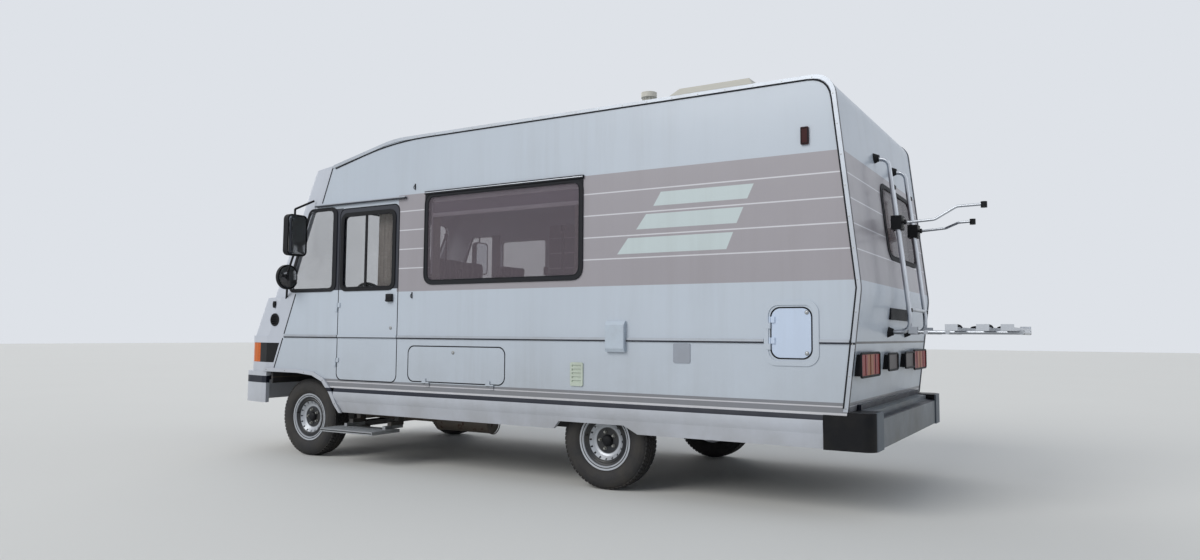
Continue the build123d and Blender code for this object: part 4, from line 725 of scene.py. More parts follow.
def smooth_path(points):
    """Points along a smooth curve through the given points."""
    points = [Vector(p) for p in points]
    last = len(points) - 1
    steps = 6
    path = []
    for i in range(last):
        a, b, c, d = (points[min(max(k, 0), last)] for k in (i - 1, i, i + 1, i + 2))
        for step in range(steps):
            t = step / steps
            square = (2 * a - 5 * b + 4 * c - d) * t**2
            cube = (3 * b - a - 3 * c + d) * t**3
            path.append(0.5 * (2 * b + (c - a) * t + square + cube))
    path.append(points[-1])
    return path


def round_corners(points, radius, steps=5, closed=True):
    """The polygon's points with each corner turned into an arc-like run."""
    points = [Vector(p) for p in points]
    count = len(points)
    path = []
    for i, corner in enumerate(points):
        if not closed and i in (0, count - 1):
            path.append(corner)
            continue
        before, after = points[i - 1], points[(i + 1) % count]
        reach = min(radius, (before - corner).length / 2, (after - corner).length / 2)
        start = corner + (before - corner).normalized() * reach
        end = corner + (after - corner).normalized() * reach
        for step in range(steps + 1):
            t = step / steps
            path.append(start * (1 - t) ** 2 + corner * (2 * t * (1 - t)) + end * t**2)
    return path


def wall_loop(low_x, high_x, low_z, high_z, side, out, radius, inset):
    """A rounded rectangle on a side wall's face, shifted out of it by some metres."""
    y = side * (HALF_WIDTH + out)
    corners = [
        (low_x + inset, y, low_z + inset),
        (high_x - inset, y, low_z + inset),
        (high_x - inset, y, high_z - inset),
        (low_x + inset, y, high_z - inset),
    ]
    return round_corners(corners, radius)


def wall_outline(side, inset, out):
    """The line that the edge strips follow, from the cowl over the roof and down the rear."""
    y = side * (HALF_WIDTH + out)
    roof = ROOF_Z - inset
    cowl = (seam_x(2.44) - 0.03, y, 2.437 - inset)
    knee = (ahead(-1.010), y, roof)
    corner, waist, foot = (
        (rear_x(z) + inset, y, height) for z, height in ((2.59, roof), (WAIST_Z, WAIST_Z), (0.63, 0.63))
    )
    path = round_corners([cowl, knee, corner], 0.45, steps=6, closed=False)[:-1]
    path += round_corners([path[-1], corner, waist], 0.13, steps=6, closed=False)[1:-1]
    return path + [Vector(waist), Vector(foot)]


def tree_with(name, inputs):
    """An empty Geometry Nodes tree with named inputs, each a label and a kind of socket."""
    tree = bpy.data.node_groups.new(name, "GeometryNodeTree")
    for label, kind in inputs:
        tree.interface.new_socket(label, in_out="INPUT", socket_type="NodeSocket" + kind)
    tree.interface.new_socket("Geometry", in_out="OUTPUT", socket_type="NodeSocketGeometry")
    return tree, tree.nodes.new("NodeGroupInput").outputs


def tree_node(tree, kind, settings=None, values=None):
    """Adds a node to a Geometry Nodes tree; a value is plain or another node's socket."""
    node = tree.nodes.new(kind)
    for key, value in (settings or {}).items():
        setattr(node, key, value)
    for key, value in (values or {}).items():
        if isinstance(value, bpy.types.NodeSocket):
            tree.links.new(value, node.inputs[key])
        else:
            node.inputs[key].default_value = value
    return node.outputs


def end_tree(tree, points, rotation, given):
    """Sets the part at the points, makes the copies real and gives them their finish."""
    space = {"transform_space": "ORIGINAL"}
    part = tree_node(tree, "GeometryNodeObjectInfo", space, {"Object": given["Part"]})
    placed = {"Points": points, "Instance": part["Geometry"], "Rotation": rotation}
    copies = tree_node(tree, "GeometryNodeInstanceOnPoints", values=placed)
    real = tree_node(tree, "GeometryNodeRealizeInstances", values={"Geometry": copies["Instances"]})
    finish = {"Geometry": real["Geometry"], "Material": given["Finish"]}
    done = tree_node(tree, "GeometryNodeSetMaterial", values=finish)
    tree.links.new(done["Geometry"], tree.nodes.new("NodeGroupOutput").inputs["Geometry"])
    return tree


def path_tree():
    """Parts at even spaces along a path: their Z follows it and their X is level."""
    inputs = (("Path", "Geometry"), ("Part", "Object"), ("Spacing", "Float"), ("Finish", "Material"))
    tree, given = tree_with("Parts along a path", inputs)
    values = {"Curve": given["Path"], "Length": given["Spacing"]}
    points = tree_node(tree, "GeometryNodeCurveToPoints", {"mode": "LENGTH"}, values)
    return end_tree(tree, points["Points"], points["Rotation"], given)


def ring_tree():
    """Copies of a part turned evenly about the Y axis through a centre."""
    inputs = (
        ("Geometry", "Geometry"),
        ("Part", "Object"),
        ("Count", "Int"),
        ("Turn", "Float"),
        ("Centre", "Vector"),
        ("Finish", "Material"),
    )
    tree, given = tree_with("Parts round an axle", inputs)
    values = {"Count": given["Count"], "Position": given["Centre"]}
    points = tree_node(tree, "GeometryNodePoints", values=values)
    index = tree_node(tree, "GeometryNodeInputIndex")
    step = tree_node(tree, "ShaderNodeMath", {"operation": "DIVIDE"}, {0: math.tau, 1: given["Count"]})
    turns = {0: index[0], 1: step[0], 2: given["Turn"]}
    angle = tree_node(tree, "ShaderNodeMath", {"operation": "MULTIPLY_ADD"}, turns)
    turn = tree_node(tree, "ShaderNodeCombineXYZ", values={"Y": angle[0]})
    return end_tree(tree, points[0], turn[0], given)


def grown(name, data, tree, values, body):
    """Runs a tree on some data and keeps the result as a plain mesh that rides on a body."""
    obj = link(bpy.data.objects.new(name, data))
    modifier = obj.modifiers.new("Repeat", "NODES")
    modifier.node_group = tree
    for item in tree.interface.items_tree:
        if item.in_out == "INPUT" and item.name in values:
            modifier[item.identifier] = values[item.name]
    mesh = evaluated_mesh(obj)
    bpy.data.objects.remove(obj)
    bpy.data.objects.remove(values["Part"])
    if not mesh.vertices:
        raise RuntimeError(name + " came out empty")
    made = link(bpy.data.objects.new(name, mesh))
    smooth(mesh, 30)
    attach(made, body)


def small_part(bm):
    """An object that a tree copies."""
    return link(bpy.data.objects.new("Small part", mesh_of("Small part", bm)))


def along_paths(name, paths, part, spacing, finish, body=ROOT):
    """Copies of a part along one or more paths of points."""
    curve = bpy.data.curves.new(name + " path", "CURVE")
    curve.dimensions = "3D"
    curve.twist_mode = "Z_UP"
    for points in paths:
        spline = curve.splines.new("POLY")
        spline.points.add(len(points) - 1)
        for target, point in zip(spline.points, points):
            target.co = (*point, 1)
    values = {"Part": small_part(part), "Spacing": spacing, "Finish": FINISHES[finish]}
    grown(name, curve, path_tree(), values, body)


def round_axle(name, centre, part, count, turn, finish, body):
    """Copies of a part round the Y axis through a centre."""
    values = {"Part": small_part(part), "Count": count, "Turn": turn, "Centre": centre}
    values["Finish"] = FINISHES[finish]
    grown(name, bpy.data.meshes.new(name + " start"), ring_tree(), values, body)


# Camera at the photograph's place, in metres and radians
CAMERA_PLACE = (-3.6041, 5.9599, 1.0409)
CAMERA_YAW = 0.53937
CAMERA_PITCH = 0.07054
CAMERA_ROLL = 0.00732
CAMERA_SHIFT = -0.0043

# Soft suns: name, direction that the light comes from, strength, spread in degrees, colour
SUNS = (
    ("Key sun", (0.35, 0.85, 0.62), 1.75, 40, (1.0, 0.985, 0.96)),
    ("Fill sun", (0.70, -0.60, 0.50), 0.80, 60, (1.0, 0.97, 0.94)),
    ("Back sun", (-0.90, -0.25, 0.50), 0.45, 60, (0.94, 0.97, 1.0)),
)


class MOTORHOME_OT_stage(bpy.types.Operator):
    """Plain pale floor, soft lights and the camera at the photograph's place"""

    bl_idname = "motorhome.stage"
    bl_label = "Stage"

    def execute(self, context):
        stage = context.scene.motorhome_stage
        context.scene.view_settings.view_transform = "Standard"
        self.add_camera(context, stage)
        self.add_floor(stage)
        self.add_world(context, stage)
        for name, direction, strength, spread, colour in SUNS:
            light = bpy.data.lights.new(name, "SUN")
            light.energy = strength
            light.angle = math.radians(spread)
            light.color = colour
            lamp = link(bpy.data.objects.new(name, light))
            lamp.rotation_euler = Vector(direction).to_track_quat("Z", "Y").to_euler()
        return {"FINISHED"}

    def add_camera(self, context, stage):
        level = math.cos(CAMERA_PITCH)
        heading = (math.sin(CAMERA_YAW) * level, -math.cos(CAMERA_YAW) * level, math.sin(CAMERA_PITCH))
        forward = Vector(heading)
        right = forward.cross(Vector((0, 0, 1))).normalized()
        up = right.cross(forward)
        cos, sin = math.cos(CAMERA_ROLL), math.sin(CAMERA_ROLL)
        right, up = right * cos + up * sin, up * cos - right * sin
        camera = bpy.data.cameras.new("Camera")
        camera.sensor_width = 36
        camera.lens = stage.lens
        camera.shift_y = CAMERA_SHIFT
        camera.clip_end = 300
        viewer = link(bpy.data.objects.new("Camera", camera))
        turn = Matrix((right, up, -forward)).transposed().to_4x4()
        viewer.matrix_world = Matrix.Translation(CAMERA_PLACE) @ turn
        context.scene.camera = viewer

    def add_floor(self, stage):
        bm = bmesh.new()
        bmesh.ops.create_grid(bm, x_segments=2, y_segments=2, size=70)
        mesh = mesh_of("Studio floor", bm)
        mix = Recipe("Floor", stage.floor, 0.85)
        mix.colour(mix.mix(mix.noise(0.4, 3.0), stage.floor, shaded(stage.floor, 0.97)))
        mesh.materials.append(mix.material)
        link(bpy.data.objects.new("Studio floor", mesh))

    def add_world(self, context, stage):
        """A soft sky, which the camera, gloss and glass see as a plain pale wall."""
        world = bpy.data.worlds.new("Studio")
        world.use_nodes = True
        context.scene.world = world
        tree = world.node_tree
        tree.nodes.clear()
        rays = tree.nodes.new("ShaderNodeLightPath").outputs
        seen = tree.nodes.new("ShaderNodeBackground")
        seen.inputs["Color"].default_value = opaque(tint(222, 226, 232))
        light = tree.nodes.new("ShaderNodeBackground")
        light.inputs["Color"].default_value = opaque(stage.sky)
        light.inputs["Strength"].default_value = 0.52
        total = rays["Is Camera Ray"]
        for name in ("Is Glossy Ray", "Is Transmission Ray"):
            either = tree.nodes.new("ShaderNodeMath")
            either.operation = "MAXIMUM"
            tree.links.new(total, either.inputs[0])
            tree.links.new(rays[name], either.inputs[1])
            total = either.outputs[0]
        choice = tree.nodes.new("ShaderNodeMixShader")
        tree.links.new(total, choice.inputs[0])
        tree.links.new(light.outputs[0], choice.inputs[1])
        tree.links.new(seen.outputs[0], choice.inputs[2])
        tree.links.new(choice.outputs[0], tree.nodes.new("ShaderNodeOutputWorld").inputs["Surface"])


# Which CAD nodes wear which finish
WEARERS = {
    "skin": ("left_wall", "right_wall", "entrance_door", "locker_flap"),
    "door_skin": ("driver_door",),
    "rear_skin": ("rear_wall",),
    "service": ("service_door",),
    "roof": ("roof",),
    "nose": ("front_cowl", "bonnet"),
    "skirt": ("skirts",),
    "bumper": ("front_bumper",),
    "ledge": ("rear_ledge",),
    "caps": ("rear_bumper",),
    "step_fibre": ("roof_vents", "hatch_lid"),
    "fittings": ("side_fittings",),
    "black": ("driver_door_trim", "mirrors", "grille", "rack_fittings"),
    "housing": ("nose_fittings",),
    "dash": ("dashboard", "steering_wheel"),
    "seal": ("window_frames",),
    "trims": ("body_trims",),
    "tube": ("rack_frame", "rack_platform", "rack_arms"),
    "tread_plate": ("entry_step",),
    "steel": ("chassis_frame", "rear_axle", "step_carrier"),
    "cast": ("knuckle_left", "knuckle_right", "engine"),
    "hot": ("exhaust",),
    "tank": ("tanks",),
    "clear": ("cab_glass", "driver_door_glass"),
    "smoke": ("living_windows", "entrance_door_glass"),
    "amber": ("amber_lamps",),
    "red": ("red_lamps",),
    "clear_lens": ("headlamps",),
    "wood": ("furniture",),
    "board": ("floor",),
    "seat": ("seats", "bench_cushions"),
    "curtain": ("curtains",),
    "rim": tuple("rim_" + place for place, _, _ in WHEELS),
    "tyre": tuple("tyre_" + place for place, _, _ in WHEELS),
}


class MOTORHOME_OT_finishes(bpy.types.Operator):
    """Every finish of the motorhome, and the CAD nodes that wear it"""

    bl_idname = "motorhome.finishes"
    bl_label = "Finishes"

    def execute(self, context):
        body = context.scene.motorhome_body
        run = context.scene.motorhome_running
        fit = context.scene.motorhome_fittings
        self.add_skins(body)
        self.add_plastics(fit)
        self.add_trims(body, fit)
        self.add_running(run)
        self.add_lenses(fit)
        self.add_inside(fit)
        for finish, nodes in WEARERS.items():
            for node in nodes:
                mesh = NODES[node].data
                mesh.materials.clear()
                mesh.materials.append(FINISHES[finish])
        return {"FINISHED"}

    def add_skins(self, body):
        """Coated sheet and the large mouldings."""
        FINISHES.update(
            skin=body_skin("Coated skin", body.white, dark=(DOOR_PILLAR,)),
            door_skin=body_skin("Door skin", body.white, dark=(DOOR_FRAME, DOOR_LINE)),
            rear_skin=body_skin("Rear skin", body.white, dark=(REAR_LINE,)),
            roof=body_skin("Roof skin", body.white, stripes=False, lined=False, dirt=0.0),
            service=body_skin("Service panel", tint(196, 210, 230), stripes=False, lined=False),
            nose=moulded("Nose moulding", body.moulding),
            skirt=moulded("Skirt moulding", body.moulding, 0.6, [(0.559, 0.589)]),
            bumper=moulded("Bumper moulding", body.moulding, dark_lines=[(0.6, 0.66)]),
            ledge=moulded("Rear ledge", tint(118, 126, 134), 0.7, [(0.6085, 0.64), (0.5625, 0.5725)]),
            step_fibre=moulded("Weathered plastic", tint(206, 203, 192)),
        )

    def add_plastics(self, fit):
        """Black plastic, rubber profiles, and the mouldings with painted zones."""

        # The bumper's rear face: a pale grey moulding, painted darker as painted shade
        def rear_face(mix):
            return mix.x.below(REAR_AXLE_X - 1.800) * abs(mix.y).below(1.03)

        def corner_lamp(mix):
            return mix.x.above(ahead(0.588)) * mix.z.between(0.78, 0.95)

        FINISHES.update(
            black=grained_plastic("Black plastic", fit.black),
            seal=rubber("Window rubber", tint(18, 21, 28), 0.05),
            caps=zoned("Bumper caps", fit.black, [(rear_face, tint(92, 99, 106))], grime=0.05, shine=0.15),
            fittings=zoned("Side fittings", tint(182, 193, 204), [
                (lambda mix: mix.z.between(0.6, 0.87) * mix.y.above(0.0), tint(186, 196, 182)),
                (lambda mix: mix.x.between(ahead(-3.7), ahead(-3.4)) * mix.y.above(0.0), tint(148, 154, 164)),
            ]),
            housing=zoned("Lamp housing", fit.black, [
                (corner_lamp, fit.amber),
                # Painted shade: darker orange stripes along the corner lamp's flutes
                (lambda mix: corner_lamp(mix) * mix.wave(mix.z, 0.013), tint(168, 70, 18)),
            ], grime=0.04, shine=0.15),
        )

    def add_trims(self, body, fit):
        """Drawn aluminium, with the dark inserts of the body's strips."""

        def belt(mix):
            return mix.z.between(0.9935, 1.0065)

        FINISHES.update(
            trim=brushed_metal("Drawn trim", fit.metal),
            trims=zoned("Body trims", tint(176, 182, 190), [
                (lambda mix: belt(mix) * mix.y.above(0.5), body.dark_line),
                (lambda mix: belt(mix) * mix.y.below(-0.5), body.dark_line),
                (lambda mix: mix.z.between(2.085, 2.108) * mix.x.above(ahead(-1.2)), tint(40, 44, 54)),
                (lambda mix: mix.z.between(0.553, 0.5895), body.dark_line),
                (lambda mix: abs(mix.y).below(HALF_WIDTH), body.dark_line),
            ], metallic=0.5, roughness=0.38),
            tube=brushed_metal("Rack tube", fit.metal, "z", 0.3, 0.3),
            tread_plate=brushed_metal("Step metal", tint(170, 173, 176), "x", 0.4, 0.4),
            bolt=brushed_metal("Zinc plated", tint(150, 150, 146), "y", 0.35, 0.3),
            mirror=brushed_metal("Mirror glass", tint(226, 230, 234), "z", 0.03, 0.0),
        )

    def add_running(self, run):
        """Tyres, rims, and what is under the floor."""
        FINISHES.update(
            tyre=rubber("Tyre rubber", run.rubber),
            rim=zoned("Rim silver", run.silver, [
                # Dark rings by radius: partly the rim's dark paint, partly painted shade in its deep channel,
                # groove and centre
                (lambda mix: wheel_radius(mix).below(0.088, 0.006), tint(40, 42, 46)),
                (lambda mix: wheel_radius(mix).between(0.131, 0.167, 0.003), tint(34, 36, 40)),
                (lambda mix: wheel_radius(mix).between(0.178, 0.185, 0.002), tint(44, 46, 50)),
            ], metallic=0.35, roughness=0.34),
            steel=painted_steel("Sealed steel", run.underside, rust=0.5),
            cast=painted_steel("Castings", tint(92, 90, 88), rust=0.7),
            hot=painted_steel("Exhaust steel", tint(110, 100, 92), rust=0.9),
            tank=grained_plastic("Tank plastic", tint(48, 48, 50), 0.6),
        )

    def add_lenses(self, fit):
        """Glass, tinted acrylic and lamp lenses."""
        side_marker_x = rear_x(0.87) - 0.026
        FINISHES.update(
            clear=glazing("Cab glass", tint(34, 40, 42), 0.1),
            smoke=glazing("Tinted pane", fit.smoke, 0.4, 0.05),
            amber=lens("Amber lens", fit.amber),
            red=lens("Red lens", fit.red, zones=[
                (lambda mix: abs(mix.y).between(0.70, 0.85), tint(158, 84, 34)),
                # Inner lamps: their dark red darkened nearly to black as painted shade
                (lambda mix: abs(mix.y).below(0.545), tint(40, 22, 24)),
                (lambda mix: mix.z.above(2.0), tint(58, 16, 18)),
                (lambda mix: mix.x.above(side_marker_x) * mix.z.below(1.5), tint(30, 30, 33)),
            ]),
            clear_lens=lens("Clear lens", tint(206, 212, 216), 0.55),
        )

    def add_inside(self, fit):
        """Furniture, cloth, and the blind behind the living window."""
        FINISHES.update(
            wood=wood_foil("Oak foil", fit.wood),
            board=zoned("Floor board", tint(40, 40, 42), [
                (lambda mix: mix.z.between(0.6485, 0.653), tint(96, 84, 70)),
            ], roughness=0.7),
            dash=grained_plastic("Dashboard", tint(62, 60, 60), 0.6),
            seat=woven("Cushion cloth", fit.cloth, ribs=0.07),
            curtain=woven("Curtain cloth", fit.curtain, pitch=0.0016, sheen=0.2),
            blind=moulded("Blind case", tint(232, 226, 236), dirt=0.0),
            foil=moulded("Blind foil", tint(146, 138, 154), dirt=0.0),
        )


def stud(radius, height):
    """A domed screw head that looks the same from both sides."""
    bm = bmesh.new()
    half = [(-height, radius * 0.35), (-height * 0.6, radius * 0.85), (0, radius)]
    disc(bm, (0, 0, 0), (1, 0, 0), half + [(-along, r) for along, r in reversed(half[:-1])], 10)
    return bm


def wheel_middle(x, side):
    """The middle of a wheel, on its axle's line."""
    return Vector((x, side * HALF_TRACK, AXLE_Z))


def tyre_body(bm, centre, side):
    """The carcass: bead, ribbed and rounded sidewalls, and the crown under the tread."""
    half = [
        (0.0660, 0.1785), (0.0680, 0.1960), (0.0745, 0.2030), (0.0760, 0.2042), (0.0790, 0.2090),
        (0.0848, 0.2190), (0.0856, 0.2205), (0.0895, 0.2330), (0.0914, 0.2480), (0.0919, 0.2510),
        (0.0912, 0.2640), (0.0890, 0.2800), (0.0880, 0.2850), (0.0868, 0.2870), (0.0835, 0.2960),
        (0.0775, 0.3060), (0.0700, 0.3130), (0.0560, 0.3168), (0.0300, 0.3176), (0.0000, 0.3178),
    ]
    profile = half + [(-a, r) for a, r in reversed(half[:-1])]
    lathe(bm, centre, (0, side, 0), profile, 72)


def tread_block(low, high, lean, depth):
    """One tread block at the top of the tyre, as wide as from low to high across."""
    length = 0.0125
    top = 0.3245
    round_y, drop = 0.0785, 0.0065
    rings = []
    for z, shrink in ((top - depth, 0.0), (top - 0.0006, 0.0008), (top, 0.0016)):
        near, far = low + shrink, high - shrink
        start, end = -length + shrink, length - shrink
        rings.append([
            Vector((x + lean * y * 0.25, y, z - (abs(y) / round_y) ** 3 * drop))
            for x, y in ((start, near), (end, near), (end, far), (start, far))
        ])
    bm = bmesh.new()
    loft(bm, rings)
    return bm


class MOTORHOME_OT_tyres(bpy.types.Operator):
    """Van tyres with ribbed sidewalls and rows of tread blocks"""

    bl_idname = "motorhome.tyres"
    bl_label = "Tyres"

    def execute(self, context):
        run = context.scene.motorhome_running
        rows = (
            ("Outer", 0.0505, 0.0735, 1, 0.5),
            ("Shoulder", 0.0265, 0.0455, -1, 0.0),
            ("Middle", -0.0105, 0.0105, 1, 0.5),
            ("Inner_shoulder", -0.0455, -0.0265, 1, 0.0),
            ("Inner", -0.0735, -0.0505, -1, 0.5),
        )
        for place, x, side in WHEELS:
            body = "wheel_" + place
            centre = wheel_middle(x, side)
            bm = bmesh.new()
            tyre_body(bm, centre, side)
            tyre = piece("Tyre_" + place, bm, "tyre", body, 38)
            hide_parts("tyre_" + place)
            for label, low, high, lean, offset in rows:
                block = tread_block(low, high, lean, run.tread_depth)
                turn = math.tau / run.tread_pitches * offset
                name = "Tread_" + label + "_" + place
                round_axle(name, centre, block, run.tread_pitches, turn, "tyre", body)
        return {"FINISHED"}


class MOTORHOME_OT_wheels(bpy.types.Operator):
    """Wheel bolts, hub caps, valves and balance weights on the rims"""

    bl_idname = "motorhome.wheels"
    bl_label = "Wheel fittings"

    def execute(self, context):
        for place, x, side in WHEELS:
            body = "wheel_" + place
            centre = wheel_middle(x, side)
            axis = Vector((0, side, 0))
            round_axle("Bolts_" + place, centre, self.bolt(side), 5, 0.3, "bolt", body)
            self.add_cap(place, body, centre, axis)
            self.add_valve(place, body, centre, axis)
            self.add_weights(place, body, centre, axis)
        return {"FINISHED"}

    def bolt(self, side):
        """A hexagon wheel bolt with its coned collar, at the top of the bolt circle."""
        bm = bmesh.new()
        place = Vector((0, side * 0.0308, 0.0580))
        disc(bm, place, (0, side, 0), ((0, 0.0125), (0.003, 0.0125), (0.0055, 0.0105)), 18)
        disc(bm, place, (0, side, 0), ((0.004, 0.0095), (0.0155, 0.0095), (0.0175, 0.0080)), 6)
        return bm

    def add_cap(self, place, body, centre, axis):
        """The domed black cap in the middle of the rim."""
        face = 0.0312
        profile = [
            (face, 0.0400), (face + 0.010, 0.0395), (face + 0.018, 0.0350), (face + 0.0235, 0.0240),
            (face + 0.0240, 0.0010), (face + 0.0215, 0.0010), (face + 0.0205, 0.0225),
            (face + 0.0165, 0.0312), (face, 0.0312),
        ]
        bm = bmesh.new()
        lathe(bm, centre, axis, profile, 28)
        piece("Hub_cap_" + place, bm, "black", body, 40)

    def add_valve(self, place, body, centre, axis):
        """A rubber valve with its cap, through a vent of the rim."""
        start = centre + axis * 0.0600 + Vector((0.146, 0, 0.030))
        stem = [start, start + axis * 0.006, start + Vector((-0.006, axis.y * 0.020, 0))]
        cap = [start + Vector((-0.005, axis.y * 0.018, 0)), start + Vector((-0.0075, axis.y * 0.029, 0))]
        bm = bmesh.new()
        tube(bm, stem, 0.0042, 10)
        tube(bm, cap, 0.005, 10)
        piece("Valve_" + place, bm, "black", body)

    def add_weights(self, place, body, centre, axis):
        """Three balance weights on the rim's edge."""
        bm = bmesh.new()
        for angle in (0.7, 2.9, 4.4):
            points = [
                centre + axis * 0.0735 + Vector((math.cos(a), 0, math.sin(a))) * 0.1745
                for a in (angle + step * 0.028 for step in range(5))
            ]
            tube(bm, points, 0.0032, 6, flat=0.8)
        piece("Balance_weights_" + place, bm, "trim", body)


class MOTORHOME_OT_windows(bpy.types.Operator):
    """Rubber beads round the panes, and the blind, stays and hinge rail of the living window"""

    bl_idname = "motorhome.windows"
    bl_label = "Windows"

    def execute(self, context):
        for name, edges, side in (("Living", LIVING_WINDOW, 1), ("Kitchen", KITCHEN_WINDOW, -1)):
            self.bead(name + "_bead", [wall_loop(*edges, side, 0.0045, 0.062, 0.004)])
            self.bead(name + "_outer_bead", [wall_loop(*edges, side, 0.006, 0.088, -0.026)], 0.0045)
        for name, body, side in (("Passenger", ROOT, -1), ("Driver", "driver_door", 1)):
            self.bead(name + "_bead", [wall_loop(*CAB_WINDOW, side, 0.003, 0.042, 0.004)], body=body)
        self.bead("Quarter_beads", [self.quarter_loop(side) for side in (1, -1)])
        self.bead("Screen_bead", [self.screen_loop(0.0, 0.004)], 0.011)
        self.bead("Screen_key", [self.screen_loop(0.004, 0.013)], 0.0025, "trim", "trim_metal")
        corners = ((-0.737, 1.583), (0.167, 1.583), (0.167, 2.047), (-0.737, 2.047))
        rear = round_corners([(rear_x(z) - 0.006, y, z) for y, z in corners], 0.085)
        self.bead("Rear_window_bead", [rear])
        self.add_blind()
        self.add_stays()
        self.add_hinge_rail()
        return {"FINISHED"}

    def bead(self, name, loops, radius=0.0036, finish="seal", slot="rubber_frame", body=ROOT):
        """A thin round profile along closed loops."""
        bm = bmesh.new()
        for loop in loops:
            tube(bm, loop, radius, 8, closed=True)
        piece(name, bm, finish, body, 50)

    def quarter_loop(self, side):
        """The edge of the fixed pane ahead of a cab window."""
        y = side * (HALF_WIDTH + 0.003)
        rear, foot, top = ahead(-0.341), 1.409, 2.062
        corners = [(rear, y, foot), (ahead(0.184), y, foot), (ahead(-0.064), y, top), (rear, y, top)]
        return round_corners(corners, 0.045)

    def screen_loop(self, grow, out):
        """The windscreen's edge on the bowed and leaning nose."""
        low, high, half = 1.400 - grow, 2.185 + grow, 0.930 + grow
        corners = [(0, -half, low), (0, half, low), (0, half, high), (0, -half, high)]
        outline = round_corners(corners, 0.10, steps=6)
        points = []
        for first, second in zip(outline, outline[1:] + outline[:1]):
            steps = max(1, int((second - first).length / 0.09))
            points += [first.lerp(second, step / steps) for step in range(steps)]
        return [on_screen(point.y, point.z, out) for point in points]

    def add_blind(self):
        """The blind's case, its guides, and its foil with the bar at its lower edge."""
        low_x, high_x, _, top = LIVING_WINDOW
        bm = bmesh.new()
        rounded_box(bm, (low_x + 0.005, 1.038, top - 0.045), (high_x - 0.005, 1.052, top - 0.005), 0.005, 3)
        for x in (low_x + 0.010, high_x - 0.026):
            rounded_box(bm, (x, 1.040, 1.500), (x + 0.012, 1.052, top - 0.046), 0.003, 2)
        start, end = low_x + 0.023, high_x - 0.027
        rounded_box(bm, (start, 1.0455, top - 0.128), (end, 1.0467, top - 0.046), 0, 1, 1)
        rounded_box(bm, (start, 1.041, top - 0.158), (end, 1.051, top - 0.127), 0.004, 3)
        piece("Blind_case", bm, ("blind", "foil"), outward=False)

    def add_stays(self):
        """Two stays and three catches on the inside of the living window."""
        low_x, high_x, low_z, _ = LIVING_WINDOW
        bm = bmesh.new()
        for x in (low_x + 0.16, high_x - 0.16):
            tube(bm, [(x, 1.045, low_z + 0.05), (x, 1.040, low_z + 0.33)], 0.006, 8)
            rounded_box(bm, (x - 0.012, 1.036, low_z + 0.32), (x + 0.012, 1.052, low_z + 0.36), 0.003, 2)
        for x in (low_x + 0.30, (low_x + high_x) / 2, high_x - 0.30):
            rounded_box(bm, (x - 0.016, 1.034, low_z + 0.015), (x + 0.016, 1.052, low_z + 0.075), 0.005, 2)
        piece("Window_stays", bm, "black")

    def add_hinge_rail(self):
        """The straight rail that the living window hangs from, with its light insert."""
        low_x, high_x, _, high_z = LIVING_WINDOW
        start, end = low_x - 0.034, high_x + 0.028
        z = high_z + 0.030
        face = HALF_WIDTH
        bm = bmesh.new()
        rounded_box(bm, (start, face, z - 0.013), (end, face + 0.016, z + 0.012), 0.003, 2)
        insert = ((start + 0.002, face + 0.012, z - 0.003), (end - 0.002, face + 0.0175, z + 0.004))
        rounded_box(bm, *insert, 0.001, 1, 1)
        radius = 0.088
        for corner_x, inward in ((low_x - 0.026, 1), (high_x + 0.026, -1)):
            arc = [
                (corner_x + inward * radius * (1 - math.sin(a)), z - 0.004 - radius * (1 - math.cos(a)))
                for a in (math.pi / 2 * step / 8 for step in range(9))
            ]
            patch = [(corner_x, z)] + arc
            loft(bm, [[Vector((px, y, pz)) for px, pz in patch] for y in (face - 0.001, face + 0.007)])
        piece("Window_hinge_rail", bm, ("seal", "trim"))


class MOTORHOME_OT_edges(bpy.types.Operator):
    """Piping beside the edge strips, screws in strips and arches, the cowl's seam, door gaskets"""

    bl_idname = "motorhome.edges"
    bl_label = "Edges"

    def execute(self, context):
        pitch = context.scene.motorhome_fittings.screw_pitch
        bm = bmesh.new()
        for side in (1, -1):
            tube(bm, wall_outline(side, 0.0225, 0.0018), 0.0056, 8)
        piece("Edge_piping", bm, "seal", angle=50)
        strips = [wall_outline(side, 0.010, 0.0036) for side in (1, -1)]
        along_paths("Strip_screws", strips, stud(0.0042, 0.0016), pitch, "bolt")
        flare = ((0.44, 0.717), (0.06, 0.714), (-0.146, 0.699), (-0.268, 0.651), (-0.361, 0.562),
                 (-0.424, 0.462))
        arches = [[Vector((ahead(x), side * (HALF_WIDTH + 0.0152), z)) for x, z in flare] for side in (1, -1)]
        along_paths("Arch_screws", arches, stud(0.005, 0.002), 0.21, "bolt")
        bm = bmesh.new()
        for side in (1, -1):
            for heights in ((2.425, 2.13), (1.368, 1.03), (0.99, 0.735)):
                tube(bm, [(seam_x(z), side * (HALF_WIDTH + 0.0005), z) for z in heights], 0.0045, 6)
        piece("Cowl_seam", bm, "seal", angle=50)
        bm = bmesh.new()
        for edges, side in ((DRIVER_DOOR, 1), (LOCKER_FLAP, 1), (SERVICE_DOOR, 1), (ENTRANCE_DOOR, -1)):
            tube(bm, wall_loop(*edges, side, -0.0032, 0.058, 0.0045), 0.0036, 8, closed=True)
        piece("Door_gaskets", bm, "seal", angle=50)
        return {"FINISHED"}


